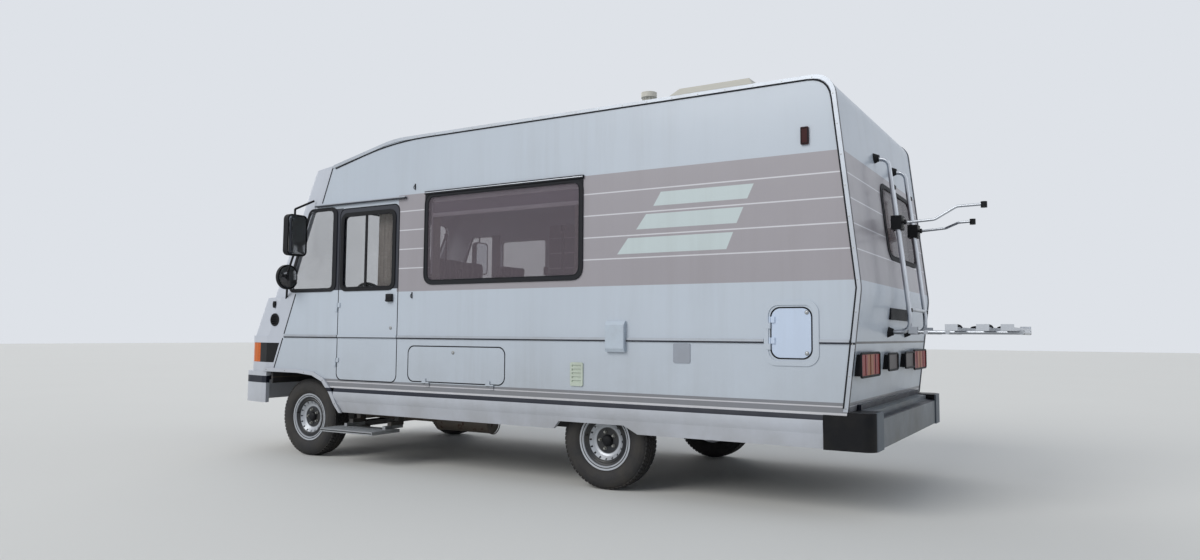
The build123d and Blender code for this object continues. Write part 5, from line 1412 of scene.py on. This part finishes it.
class MOTORHOME_OT_hardware(bpy.types.Operator):
    """Key locks, door pulls, tent hooks and the grab rail"""

    bl_idname = "motorhome.hardware"
    bl_label = "Hardware"

    def execute(self, context):
        self.locks("Driver_lock", "driver_door", 1, [(ahead(-1.016), 1.081)], 0.013)
        self.locks("Locker_locks", "locker_flap", 1, [(ahead(-1.66), 0.898)], 0.013)
        service = [(ahead(-4.350), 1.180), (ahead(-4.350), 0.940)]
        self.locks("Service_locks", "service_door", 1, service, 0.012)
        self.locks("Entrance_locks", "entrance_door", -1, [(ahead(-2.10), 1.22)], 0.013)
        self.pull("Driver_handle", "driver_door", 1, ahead(-1.003), 1.319)
        self.pull("Entrance_handle", "entrance_door", -1, ahead(-2.10), 1.345)
        self.add_hooks()
        self.add_grab_rail()
        return {"FINISHED"}

    def locks(self, name, body, side, places, radius):
        """Round key locks with their rotor and slot."""
        collar = ((-0.001, radius), (0.003, radius), (0.0045, radius * 0.85), (0.0046, radius * 0.6))
        rotor = ((0.004, radius * 0.52), (0.0062, radius * 0.5), (0.0066, radius * 0.4))
        low, high = sorted((side * (HALF_WIDTH + 0.0066), side * (HALF_WIDTH + 0.0072)))
        half = radius * 0.32
        bm = bmesh.new()
        for x, z in places:
            face = (x, side * HALF_WIDTH, z)
            disc(bm, face, (0, side, 0), collar)
            disc(bm, face, (0, side, 0), rotor, 20, 1)
            rounded_box(bm, (x - 0.0009, low, z - half), (x + 0.0009, high, z + half), 0, 1, 2)
        piece(name, bm, ("bolt", "trim", "black"), body)

    def pull(self, name, body, side, x, z):
        """A moulded pull over its recess."""
        face = side * HALF_WIDTH
        bm = bmesh.new()
        points = [
            (x - 0.030, face + side * 0.017, z - 0.020),
            (x - 0.012, face + side * 0.027, z - 0.022),
            (x + 0.012, face + side * 0.027, z - 0.022),
            (x + 0.030, face + side * 0.017, z - 0.020),
        ]
        tube(bm, smooth_path(points), 0.0075, 10, flat=0.7)
        low, high = sorted((face + side * 0.016, face + side * 0.0205))
        rounded_box(bm, (x - 0.028, low, z - 0.004), (x + 0.028, high, z + 0.024), 0.002, 2)
        piece(name, bm, "black", body)

    def add_hooks(self):
        """Small black tent hooks on the left wall."""
        face = HALF_WIDTH
        bm = bmesh.new()
        for x, z in ((ahead(-1.245), 2.185), (ahead(-1.235), 1.335)):
            low, high = (x - 0.006, face - 0.001, z - 0.024), (x + 0.006, face + 0.003, z + 0.024)
            rounded_box(bm, low, high, 0.0012)
            bend = ((0.002, 0.010), (0.014, 0.004), (0.017, -0.008), (0.013, -0.018))
            tube(bm, smooth_path([(x, face + out, z + rise) for out, rise in bend]), 0.0028, 8)
        piece("Tent_hooks", bm, "black")

    def add_grab_rail(self):
        """The rail on the right wall beside the entrance door."""
        x, face = ahead(-1.44), -HALF_WIDTH
        route = [
            (x, face, 1.02), (x, face - 0.035, 1.03), (x, face - 0.045, 1.07), (x, face - 0.045, 1.31),
            (x, face - 0.035, 1.35), (x, face, 1.36),
        ]
        bm = bmesh.new()
        tube(bm, smooth_path(route), 0.010)
        for z in (1.02, 1.36):
            disc(bm, (x, face, z), (0, -1, 0), ((0, 0.026), (0.004, 0.026), (0.007, 0.020)), 20)
        piece("Grab_rail", bm, "trim")


class MOTORHOME_OT_lamps(bpy.types.Operator):
    """Bezels and ribs round the tail lamps, rims round the side markers"""

    bl_idname = "motorhome.lamps"
    bl_label = "Lamps"

    def execute(self, context):
        back = rear_x(0.87) - 0.034
        bm = bmesh.new()
        for side in (1, -1):
            low, high = sorted((side * 0.546, side * 1.006))
            self.frame(bm, back, low, high, 0.806, 0.943)
            for y in (side * 0.655, side * 0.775, side * 0.895):
                rib = ((back - 0.0022, y - 0.0025, 0.815), (back + 0.004, y + 0.0025, 0.934))
                rounded_box(bm, *rib, 0.0008, 1)
        self.frame(bm, back, 0.014, 0.296, 0.824, 0.931)
        self.frame(bm, back, -0.536, -0.234, 0.824, 0.931)
        piece("Tail_lamp_bezels", bm, "black")
        bm = bmesh.new()
        x, low, high = ahead(-4.350), 2.184, 2.276
        for side in (1, -1):
            y = side * (HALF_WIDTH + 0.0155)
            face = [(x - 0.020, y, low), (x + 0.020, y, low), (x + 0.020, y, high), (x - 0.020, y, high)]
            tube(bm, round_corners(face, 0.008), 0.0022, 6, closed=True)
        piece("Marker_rims", bm, "black")
        return {"FINISHED"}

    def frame(self, bm, x, low_y, high_y, low_z, high_z):
        """A black surround in front of a lens."""
        corners = [(x, low_y, low_z), (x, high_y, low_z), (x, high_y, high_z), (x, low_y, high_z)]
        tube(bm, round_corners(corners, 0.018), 0.007, 8, closed=True)


# Y of the rack's two uprights, and of the platform's two long tubes in line with them
RACK_TUBES = (0.240, -0.300)


class MOTORHOME_OT_rack(bpy.types.Operator):
    """Clamp bolts, tube caps and wheel straps on the bicycle rack"""

    bl_idname = "motorhome.rack"
    bl_label = "Rack"

    def execute(self, context):
        self.add_clamp_bolts()
        self.add_straps()
        self.add_end_caps()
        return {"FINISHED"}

    def add_clamp_bolts(self):
        """Two bolts and a hand wheel on each clamp, where the upright passes it."""
        foot_x, foot_z = REAR_AXLE_X - 1.845, 1.180
        top_x, top_z = REAR_AXLE_X - 1.727, 2.210
        clamp_z = 1.787
        clamp_x = foot_x + (top_x - foot_x) * (clamp_z - foot_z) / (top_z - foot_z)
        knob = ((0, 0.009), (0.012, 0.009), (0.013, 0.017), (0.024, 0.017), (0.027, 0.013))
        bm = bmesh.new()
        for y in RACK_TUBES:
            for z in (1.765, 1.809):
                place = (clamp_x - 0.0335, y - 0.030, z)
                disc(bm, place, (-1, 0, 0), ((0, 0.010), (0.002, 0.010), (0.003, 0.0085)), 18)
                disc(bm, place, (-1, 0, 0), ((0.002, 0.0065), (0.008, 0.0065), (0.009, 0.0055)), 6)
            disc(bm, (clamp_x - 0.035, y + 0.008, clamp_z), (-1, 0, 0), knob, 12, 1)
        piece("Clamp_bolts", bm, ("bolt", "black"))

    def add_straps(self):
        """Two wheel straps across each channel, with their buckles."""
        z = 1.0935
        arch = ((-0.034, 0), (-0.026, 0.012), (0, 0.016), (0.026, 0.012), (0.034, 0))
        bm = bmesh.new()
        for x in (REAR_AXLE_X - 2.147, REAR_AXLE_X - 2.317):
            for y in (-0.52, 0.46):
                belt = [(x + along, y, z + rise) for along, rise in arch]
                tube(bm, smooth_path(belt), 0.011, 8, flat=0.16)
                rounded_box(bm, (x - 0.016, y - 0.014, z + 0.014), (x + 0.014, y + 0.014, z + 0.026), 0.003)
        piece("Wheel_straps", bm, "black", "rack_platform")

    def add_end_caps(self):
        """Plastic ends on the platform's long tubes."""
        x = CAD_BOX[0].x + 0.012
        bm = bmesh.new()
        for y in RACK_TUBES:
            disc(bm, (x, y, 1.072), (-1, 0, 0), ((0, 0.0125), (0.009, 0.0125), (0.0115, 0.0100)), 20)
        piece("Tube_ends", bm, "black", "rack_platform")


class MOTORHOME_OT_mirrors(bpy.types.Operator):
    """Mirror glasses, set in their shells"""

    bl_idname = "motorhome.mirrors"
    bl_label = "Mirrors"

    def execute(self, context):
        wide, high = 0.088, 0.1605
        corners = [(0, -wide, -high), (0, wide, -high), (0, wide, high), (0, -wide, high)]
        rim = round_corners(corners, 0.035)
        dome = ((0, 0.093), (0.002, 0.0925), (0.0045, 0.070), (0.0058, 0.035), (0.0062, 0.004))
        bm = bmesh.new()
        for side in (1, -1):
            middle = Vector((ahead(-0.0675), side * 1.220, 1.8525))
            rings = [
                [middle + Vector((out, point.y * share, point.z * share)) for point in rim]
                for out, share in ((0.0045, 1.0), (0.0, 1.0), (-0.0008, 0.96))
            ]
            loft(bm, rings)
            disc(bm, (ahead(0.0955), side * 1.165, 1.510), (-1, 0, 0), dome, 40)
        piece("Mirror_glasses", bm, "mirror", angle=20)
        return {"FINISHED"}


class MOTORHOME_OT_front(bpy.types.Operator):
    """Wipers, and the bowls behind the headlamps' lenses"""

    bl_idname = "motorhome.front"
    bl_label = "Front"

    def execute(self, context):
        bm = bmesh.new()
        for y in (0.55, -0.16):
            self.wiper(bm, y)
        piece("Wipers", bm, "black")
        bowl = ((0, 0.074), (0.012, 0.070), (0.030, 0.054), (0.044, 0.030), (0.048, 0.010))
        bm = bmesh.new()
        for side in (1, -1):
            disc(bm, (ahead(0.770), side * 0.700, 0.865), (-1, 0, 0), bowl, 32)
            y = side * 0.860
            rounded_box(bm, (ahead(0.715), y - 0.045, 0.800), (ahead(0.725), y + 0.045, 0.930), 0.003)
        piece("Headlamp_bowls", bm, "mirror")
        return {"FINISHED"}

    def wiper(self, bm, start_y):
        """A wiper at rest: its pivot, its bent arm, its blade and the link between them."""
        reach = -0.62
        low = on_screen(start_y, 1.372, 0.014)
        elbow = on_screen(start_y, 1.400, 0.034)
        tip = on_screen(start_y + reach, 1.470, 0.026)
        pivot = ((0, 0.017), (0.012, 0.017), (0.020, 0.012))
        disc(bm, low - Vector((0.006, 0, 0.004)), (0.909, 0, 0.417), pivot, 20)
        arm = [low, elbow, elbow.lerp(tip, 0.5) + Vector((0.006, 0, 0.003)), tip]
        tube(bm, smooth_path(arm), 0.005, 8, flat=0.7)
        blade = [
            on_screen(start_y + reach * share, 1.432 + 0.060 * share, 0.018)
            for share in (0.45, 0.75, 1.1, 1.42)
        ]
        tube(bm, smooth_path(blade), 0.0045, 6, flat=1.6)
        tube(bm, [tip, on_screen(start_y + reach, 1.490, 0.016)], 0.006, 8)


def pad(name, low, high, voxel):
    """A rounded block with an even mesh, ready to swell."""
    bm = bmesh.new()
    rounded_box(bm, low, high, 0.026, 4)
    obj = link(bpy.data.objects.new(name, mesh_of(name, bm)))
    remesh = obj.modifiers.new("Even mesh", "REMESH")
    remesh.mode = "VOXEL"
    remesh.voxel_size = voxel
    apply_modifiers(obj)
    obj.data.materials.append(FINISHES["seat"])
    return obj


def crown(obj, low, high, height):
    """Lifts the middle of a block's upper side."""
    middle = (Vector(low) + Vector(high)) / 2
    half = (Vector(high) - Vector(low)) / 2
    for vert in obj.data.vertices:
        share = [(c - m) / h for c, m, h in zip(vert.co, middle, half)]
        lift = (1 - min(1, share[0] ** 2)) * (1 - min(1, share[1] ** 2))
        vert.co.z += height * lift * max(0, share[2])


def inflate(pads):
    """Blows the pads up together as cloth, and keeps each point within its cap of where it was."""
    frames = 20
    scene = bpy.context.scene
    for obj, _, _ in pads:
        cloth = obj.modifiers.new("Cloth", "CLOTH")
        cloth.settings.use_pressure = True
        cloth.settings.uniform_pressure_force = 4.0
        cloth.settings.effector_weights.gravity = 0.0
        cloth.settings.mass = 0.3
        cloth.point_cache.frame_start = 1
        cloth.point_cache.frame_end = frames
    for frame in range(1, frames + 1):
        scene.frame_set(frame)
    for obj, cap, node in pads:
        if obj.modifiers:
            starts = [vert.co.copy() for vert in obj.data.vertices]
            apply_modifiers(obj)
            for vert, start in zip(obj.data.vertices, starts):
                move = vert.co - start
                if move.length > cap:
                    vert.co = start + move.normalized() * cap
        finer = obj.modifiers.new("Finer", "SUBSURF")
        finer.levels = 1
        finer.render_levels = 1
        apply_modifiers(obj)
        smooth(obj.data, 180)
        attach(obj, ROOT)
        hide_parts(node)
    scene.frame_set(1)


# The cab seats and Y of their middles
CAB_SEATS = (("driver", 0.460), ("passenger", -0.460))

# Fore and aft edges of each bench's seat and backrest, ahead of the front axle
BENCHES = (((-1.840, -1.450), (-1.420, -1.342)), ((-2.750, -2.510), (-2.858, -2.780)))


class MOTORHOME_OT_upholstery(bpy.types.Operator):
    """Cab seats and dinette cushions, padded, with piped seams"""

    bl_idname = "motorhome.upholstery"
    bl_label = "Upholstery"

    def execute(self, context):
        pads = []
        for label, y in CAB_SEATS:
            low = (ahead(-0.945), y - 0.236, 0.895)
            high = (ahead(-0.455), y + 0.236, 0.996)
            cushion = pad("Cab_cushion_" + label, low, high, 0.013)
            crown(cushion, low, high, 0.012)
            pads.append((cushion, 0.014, "seats"))
            pads.append((self.seat_back("Cab_backrest_" + label, y), 0.012, "seats"))
            self.add_pedestal(label, y)
        for number, (seat, back) in enumerate(BENCHES, 1):
            blocks = (("Bench_cushion_", seat, 1.170), ("Bench_backrest_", back, 1.630))
            for kind, (low_x, high_x), top in blocks:
                low = (ahead(low_x), 0.412, 1.092)
                high = (ahead(high_x), 0.986, top)
                pads.append((pad(kind + str(number), low, high, 0.02), 0.010, "bench_cushions"))
        inflate(pads)
        self.add_piping()
        return {"FINISHED"}

    def seat_back(self, name, y):
        """A backrest, drawn upright, then sheared into the CAD seat's lean and narrowed at its top."""
        foot, half = 1.02, 0.226
        obj = pad(name, (ahead(-0.950), y - half, foot), (ahead(-0.835), y + half, 1.680), 0.013)
        for vert in obj.data.vertices:
            rise = vert.co.z - foot
            vert.co.x -= rise * 0.236
            shoulder = max(0.0, (rise - 0.44) / 0.22)
            vert.co.y = y + (vert.co.y - y) * (1 - 0.30 * shoulder**0.6)
            vert.co.x += 0.010 * math.cos((vert.co.y - y) / half * 1.6)
        return obj

    def add_pedestal(self, label, y):
        """The seat's box on the floor, four blocks on it, and the seat's pan."""
        bm = bmesh.new()
        rounded_box(bm, (ahead(-0.895), y - 0.195, FLOOR_Z), (ahead(-0.485), y + 0.195, 0.840), 0.012, 3)
        for x in (ahead(-0.86), ahead(-0.53)):
            for across in (-0.17, 0.14):
                rounded_box(bm, (x, y + across, 0.838), (x + 0.03, y + across + 0.03, 0.885), 0.003, 1)
        rounded_box(bm, (ahead(-0.93), y - 0.215, 0.876), (ahead(-0.47), y + 0.215, 0.892), 0.004, 2)
        pedestal = piece("Cab_pedestal_" + label, bm, "steel", outward=False)
        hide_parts("seats")

    def add_piping(self):
        """Sewn cords round the seat cushions' upper edges."""
        back, front, z = ahead(-0.947), ahead(-0.453), 0.985
        bm = bmesh.new()
        for _, y in CAB_SEATS:
            right, left = y - 0.238, y + 0.238
            corners = [(back, right, z), (front, right, z), (front, left, z), (back, left, z)]
            tube(bm, round_corners(corners, 0.04), 0.0045, 8, closed=True)
        piece("Cab_piping", bm, "seat")


class MOTORHOME_OT_hangings(bpy.types.Operator):
    """Gathered curtains beside the living window and the driver's window"""

    bl_idname = "motorhome.hangings"
    bl_label = "Curtains"

    def execute(self, context):
        for label, low_x, high_x in (("front", -1.466, -1.384), ("rear", -2.776, -2.694)):
            curtain = self.add_curtain(label, ahead(low_x), ahead(high_x), 1.022, 1.425, 2.115)
            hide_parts("curtains")
        self.add_curtain("cab", ahead(-0.960), ahead(-0.770), 0.982, 1.400, 2.090)
        return {"FINISHED"}

    def add_curtain(self, label, low_x, high_x, middle_y, low_z, high_z):
        """A sheet gathered into folds that open a little towards its foot."""
        columns, rows, folds = 72, 22, 5
        bm = bmesh.new()
        grid = []
        for row in range(rows + 1):
            drop = row / rows
            z = high_z + (low_z - high_z) * drop
            depth = 0.010 + 0.006 * drop
            line = []
            for column in range(columns + 1):
                share = column / columns
                sway = noise.noise(Vector((share * 3.0, drop * 1.5, low_x))) * 0.5
                y = middle_y + depth * math.sin(share * math.tau * folds + sway)
                x = low_x + (high_x - low_x) * (share + 0.012 * math.sin(share * math.tau * folds * 2))
                line.append(bm.verts.new((x, y, z)))
            grid.append(line)
        for upper, lower in zip(grid, grid[1:]):
            for a, b, c, d in zip(upper, upper[1:], lower[1:], lower):
                bm.faces.new((a, b, c, d))
        curtain = piece("Curtain_" + label, bm, "curtain", angle=180, outward=False)
        return curtain


class MOTORHOME_OT_rails(bpy.types.Operator):
    """The curtains' rails over the living window and the driver's window"""

    bl_idname = "motorhome.rails"
    bl_label = "Curtain rails"

    def execute(self, context):
        bm = bmesh.new()
        rounded_box(bm, (ahead(-2.79), 1.014, 2.112), (ahead(-1.37), 1.030, 2.126), 0.002, 2)
        rounded_box(bm, (ahead(-1.07), 0.974, 2.087), (ahead(-0.45), 0.990, 2.101), 0.002, 2)
        for x in (ahead(-1.066), ahead(-0.470)):
            rounded_box(bm, (x, 0.988, 2.089), (x + 0.016, 1.044, 2.099), 0.002, 2)
        piece("Curtain_rail", bm, "trim", outward=False)
        return {"FINISHED"}


class MOTORHOME_OT_cab(bpy.types.Operator):
    """Dials, air vents and gear lever"""

    bl_idname = "motorhome.cab"
    bl_label = "Cab fittings"

    def execute(self, context):
        self.add_dials()
        self.add_gear_lever()
        return {"FINISHED"}

    def add_dials(self):
        """Two dials on their plates, and the slats of three air vents."""
        plate_x = ahead(-0.046)
        dial = ((0, 0.032), (0.003, 0.031), (0.0031, 0.027))
        bm = bmesh.new()
        for y in (0.360, 0.560):
            rounded_box(bm, (plate_x, y - 0.085, 1.225), (ahead(-0.034), y + 0.085, 1.305), 0.004, 2)
        for y in (0.360, 0.560):
            disc(bm, (plate_x, y, 1.265), (-1, 0, 0.13), dial, 28, 1)
        for y in (-0.62, -0.30, 0.0):
            for step in range(5):
                z = 1.215 + step * 0.014
                rounded_box(bm, (ahead(0.070), y - 0.055, z), (ahead(0.079), y + 0.055, z + 0.006), 0.001, 1)
        piece("Dials_and_vents", bm, ("black", "step_fibre"))

    def add_gear_lever(self):
        """The lever with its knob, and the gaiter at its foot."""
        x, y = ahead(-0.10), 0.06
        lever = [(x, y, FLOOR_Z), (ahead(-0.11), y, 0.85), (ahead(-0.17), y, 1.02)]
        knob = ((-0.02, 0.010), (0, 0.020), (0.02, 0.024), (0.034, 0.018), (0.040, 0.006))
        gaiter = ((0, 0.085), (0.02, 0.070), (0.05, 0.030), (0.08, 0.014))
        bm = bmesh.new()
        tube(bm, smooth_path(lever), 0.008, 10)
        disc(bm, lever[-1], (-0.2, 0, 1), knob, 20)
        disc(bm, (x, y, FLOOR_Z - 0.0015), (0, 0, 1), gaiter)
        piece("Gear_lever", bm, "black")


class MOTORHOME_OT_roof(bpy.types.Operator):
    """Ribs under the chimney's cap and across the roof hatch's lid"""

    bl_idname = "motorhome.roof"
    bl_label = "Roof fittings"

    def execute(self, context):
        x, y = ahead(-3.180), 0.840
        bm = bmesh.new()
        for index in range(12):
            turn = Matrix.Rotation(math.tau * index / 12, 4, "Z")
            start = turn @ Vector((0.034, 0, 0)) + Vector((x, y, 2.612))
            end = turn @ Vector((0.046, 0, 0)) + Vector((x, y, 2.678))
            tube(bm, [start, end], 0.003, 6)
        piece("Chimney_ribs", bm, "step_fibre")
        bm = bmesh.new()
        for y in (0.395, 0.487, 0.580, 0.673, 0.765):
            rib = [(ahead(distance), y, 2.7) for distance in (-3.90, -3.65, -3.435)]
            tube(bm, rib, 0.006, 8, flat=0.5)
        piece("Lid_ribs", bm, "step_fibre", "hatch_lid")
        return {"FINISHED"}


class MOTORHOME_OT_step(bpy.types.Operator):
    """Ribs across the entry step's tread, and its nosing"""

    bl_idname = "motorhome.step"
    bl_label = "Entry step"

    def execute(self, context):
        half = 0.0022
        rib = bmesh.new()
        rounded_box(rib, (-half, -half, -half), (half, half, half), 0.0008, 1)
        paths = [
            [(ahead(-0.96), y, 0.2755), (ahead(-0.40), y, 0.2755)]
            for y in (0.985 + 0.0125 * step for step in range(17))
        ]
        along_paths("Step_ribs", paths, rib, 0.009, "tread_plate", "entry_step")
        bm = bmesh.new()
        tube(bm, [(ahead(-0.965), 1.1965, 0.2625), (ahead(-0.395), 1.1965, 0.2625)], 0.0055, 10)
        piece("Step_nosing", bm, "black", "entry_step")
        return {"FINISHED"}


class MOTORHOME_OT_underside(bpy.types.Operator):
    """Coil springs, rear dampers, spring clamps and exhaust hangers"""

    bl_idname = "motorhome.underside"
    bl_label = "Underside"

    def execute(self, context):
        for label, side in (("left", 1), ("right", -1)):
            self.add_coil(label, side)
        self.add_dampers()
        self.add_hangers()
        return {"FINISHED"}

    def add_coil(self, label, side):
        """A coil spring that winds round the front strut."""
        bottom = Vector((FRONT_AXLE_X, side * 0.845, 0.225))
        top = Vector((FRONT_AXLE_X, side * 0.650, 0.935))
        axis = (top - bottom).normalized()
        first = Vector((1, 0, 0))
        second = axis.cross(first).normalized()
        turns, steps = 6.5, 150
        points = []
        for index in range(steps + 1):
            angle = math.tau * turns * index / steps
            height = 0.505 + 0.175 * index / steps
            out = first * math.cos(angle) + second * math.sin(angle)
            points.append(bottom + axis * height + out * 0.056)
        bm = bmesh.new()
        tube(bm, points, 0.0065, 8)
        piece("Coil_spring_" + label, bm, "steel", "knuckle_" + label, 60)

    def add_dampers(self):
        """The rear dampers' two tubes, and the bolts and plate that clamp each leaf spring."""
        x = REAR_AXLE_X
        bm = bmesh.new()
        for side in (1, -1):
            y, damper_y = side * 0.500, side * 0.400
            tube(bm, [(x + 0.060, damper_y, 0.350), (x + 0.150, damper_y, 0.470)], 0.024, 14)
            tube(bm, [(x + 0.135, damper_y, 0.450), (x + 0.190, damper_y, 0.560)], 0.014, 12)
            for shift in (-0.045, 0.045):
                for across in (-0.045, 0.045):
                    bolt = [(x + shift, y + across, z) for z in (0.270, 0.400)]
                    tube(bm, bolt, 0.007, 8)
            rounded_box(bm, (x - 0.065, y - 0.062, 0.266), (x + 0.065, y + 0.062, 0.280), 0.003, 2)
        piece("Dampers_and_clamps", bm, "steel")

    def add_hangers(self):
        """Rings round the exhaust's silencer, and straight hangers ahead of it."""
        y, z, radius, count = 0.250, 0.290, 0.088, 28
        turns = [math.tau * index / count for index in range(count)]
        bm = bmesh.new()
        for x in (ahead(-0.84), ahead(-1.41)):
            ring = [(x, y + math.cos(turn) * radius, z + math.sin(turn) * radius) for turn in turns]
            tube(bm, ring, 0.005, 6, closed=True)
        for x in (ahead(0.02), ahead(-0.62)):
            tube(bm, [(x, y, 0.312), (x, y, 0.480)], 0.006, 8)
        piece("Exhaust_hangers", bm, "hot")


class MOTORHOME_PT_sidebar(bpy.types.Panel):
    """Lists the motorhome's settings and the steps that build it"""

    bl_idname = "MOTORHOME_PT_sidebar"
    bl_label = "Motorhome"
    bl_space_type = "VIEW_3D"
    bl_region_type = "UI"
    bl_category = "Motorhome"

    def draw(self, context):
        for name in SETTINGS:
            group = getattr(context.scene, name)
            box = self.layout.box()
            box.label(text=name.replace("motorhome_", "").title())
            for key in group.bl_rna.properties.keys():
                if key not in ("rna_type", "name"):
                    box.prop(group, key)
        for step in STEPS:
            self.layout.operator(step.bl_idname)


SETTINGS = {
    "motorhome_body": BodySettings,
    "motorhome_running": RunningSettings,
    "motorhome_fittings": FittingSettings,
    "motorhome_stage": StageSettings,
}
STEPS = (
    MOTORHOME_OT_stage,
    MOTORHOME_OT_finishes,
    MOTORHOME_OT_tyres,
    MOTORHOME_OT_wheels,
    MOTORHOME_OT_windows,
    MOTORHOME_OT_edges,
    MOTORHOME_OT_hardware,
    MOTORHOME_OT_lamps,
    MOTORHOME_OT_rack,
    MOTORHOME_OT_mirrors,
    MOTORHOME_OT_front,
    MOTORHOME_OT_upholstery,
    MOTORHOME_OT_rails,
    MOTORHOME_OT_hangings,
    MOTORHOME_OT_cab,
    MOTORHOME_OT_roof,
    MOTORHOME_OT_step,
    MOTORHOME_OT_underside,
)
CLASSES = (*SETTINGS.values(), *STEPS, MOTORHOME_PT_sidebar)


def register():
    for kind in CLASSES:
        bpy.utils.register_class(kind)
    for name, settings in SETTINGS.items():
        setattr(bpy.types.Scene, name, PointerProperty(type=settings))


def unregister():
    for name in SETTINGS:
        delattr(bpy.types.Scene, name)
    for kind in reversed(CLASSES):
        bpy.utils.unregister_class(kind)


def main():
    register()
    for step in STEPS:
        family, action = step.bl_idname.split(".")
        getattr(getattr(bpy.ops, family), action)()


if __name__ == "__main__":
    main()
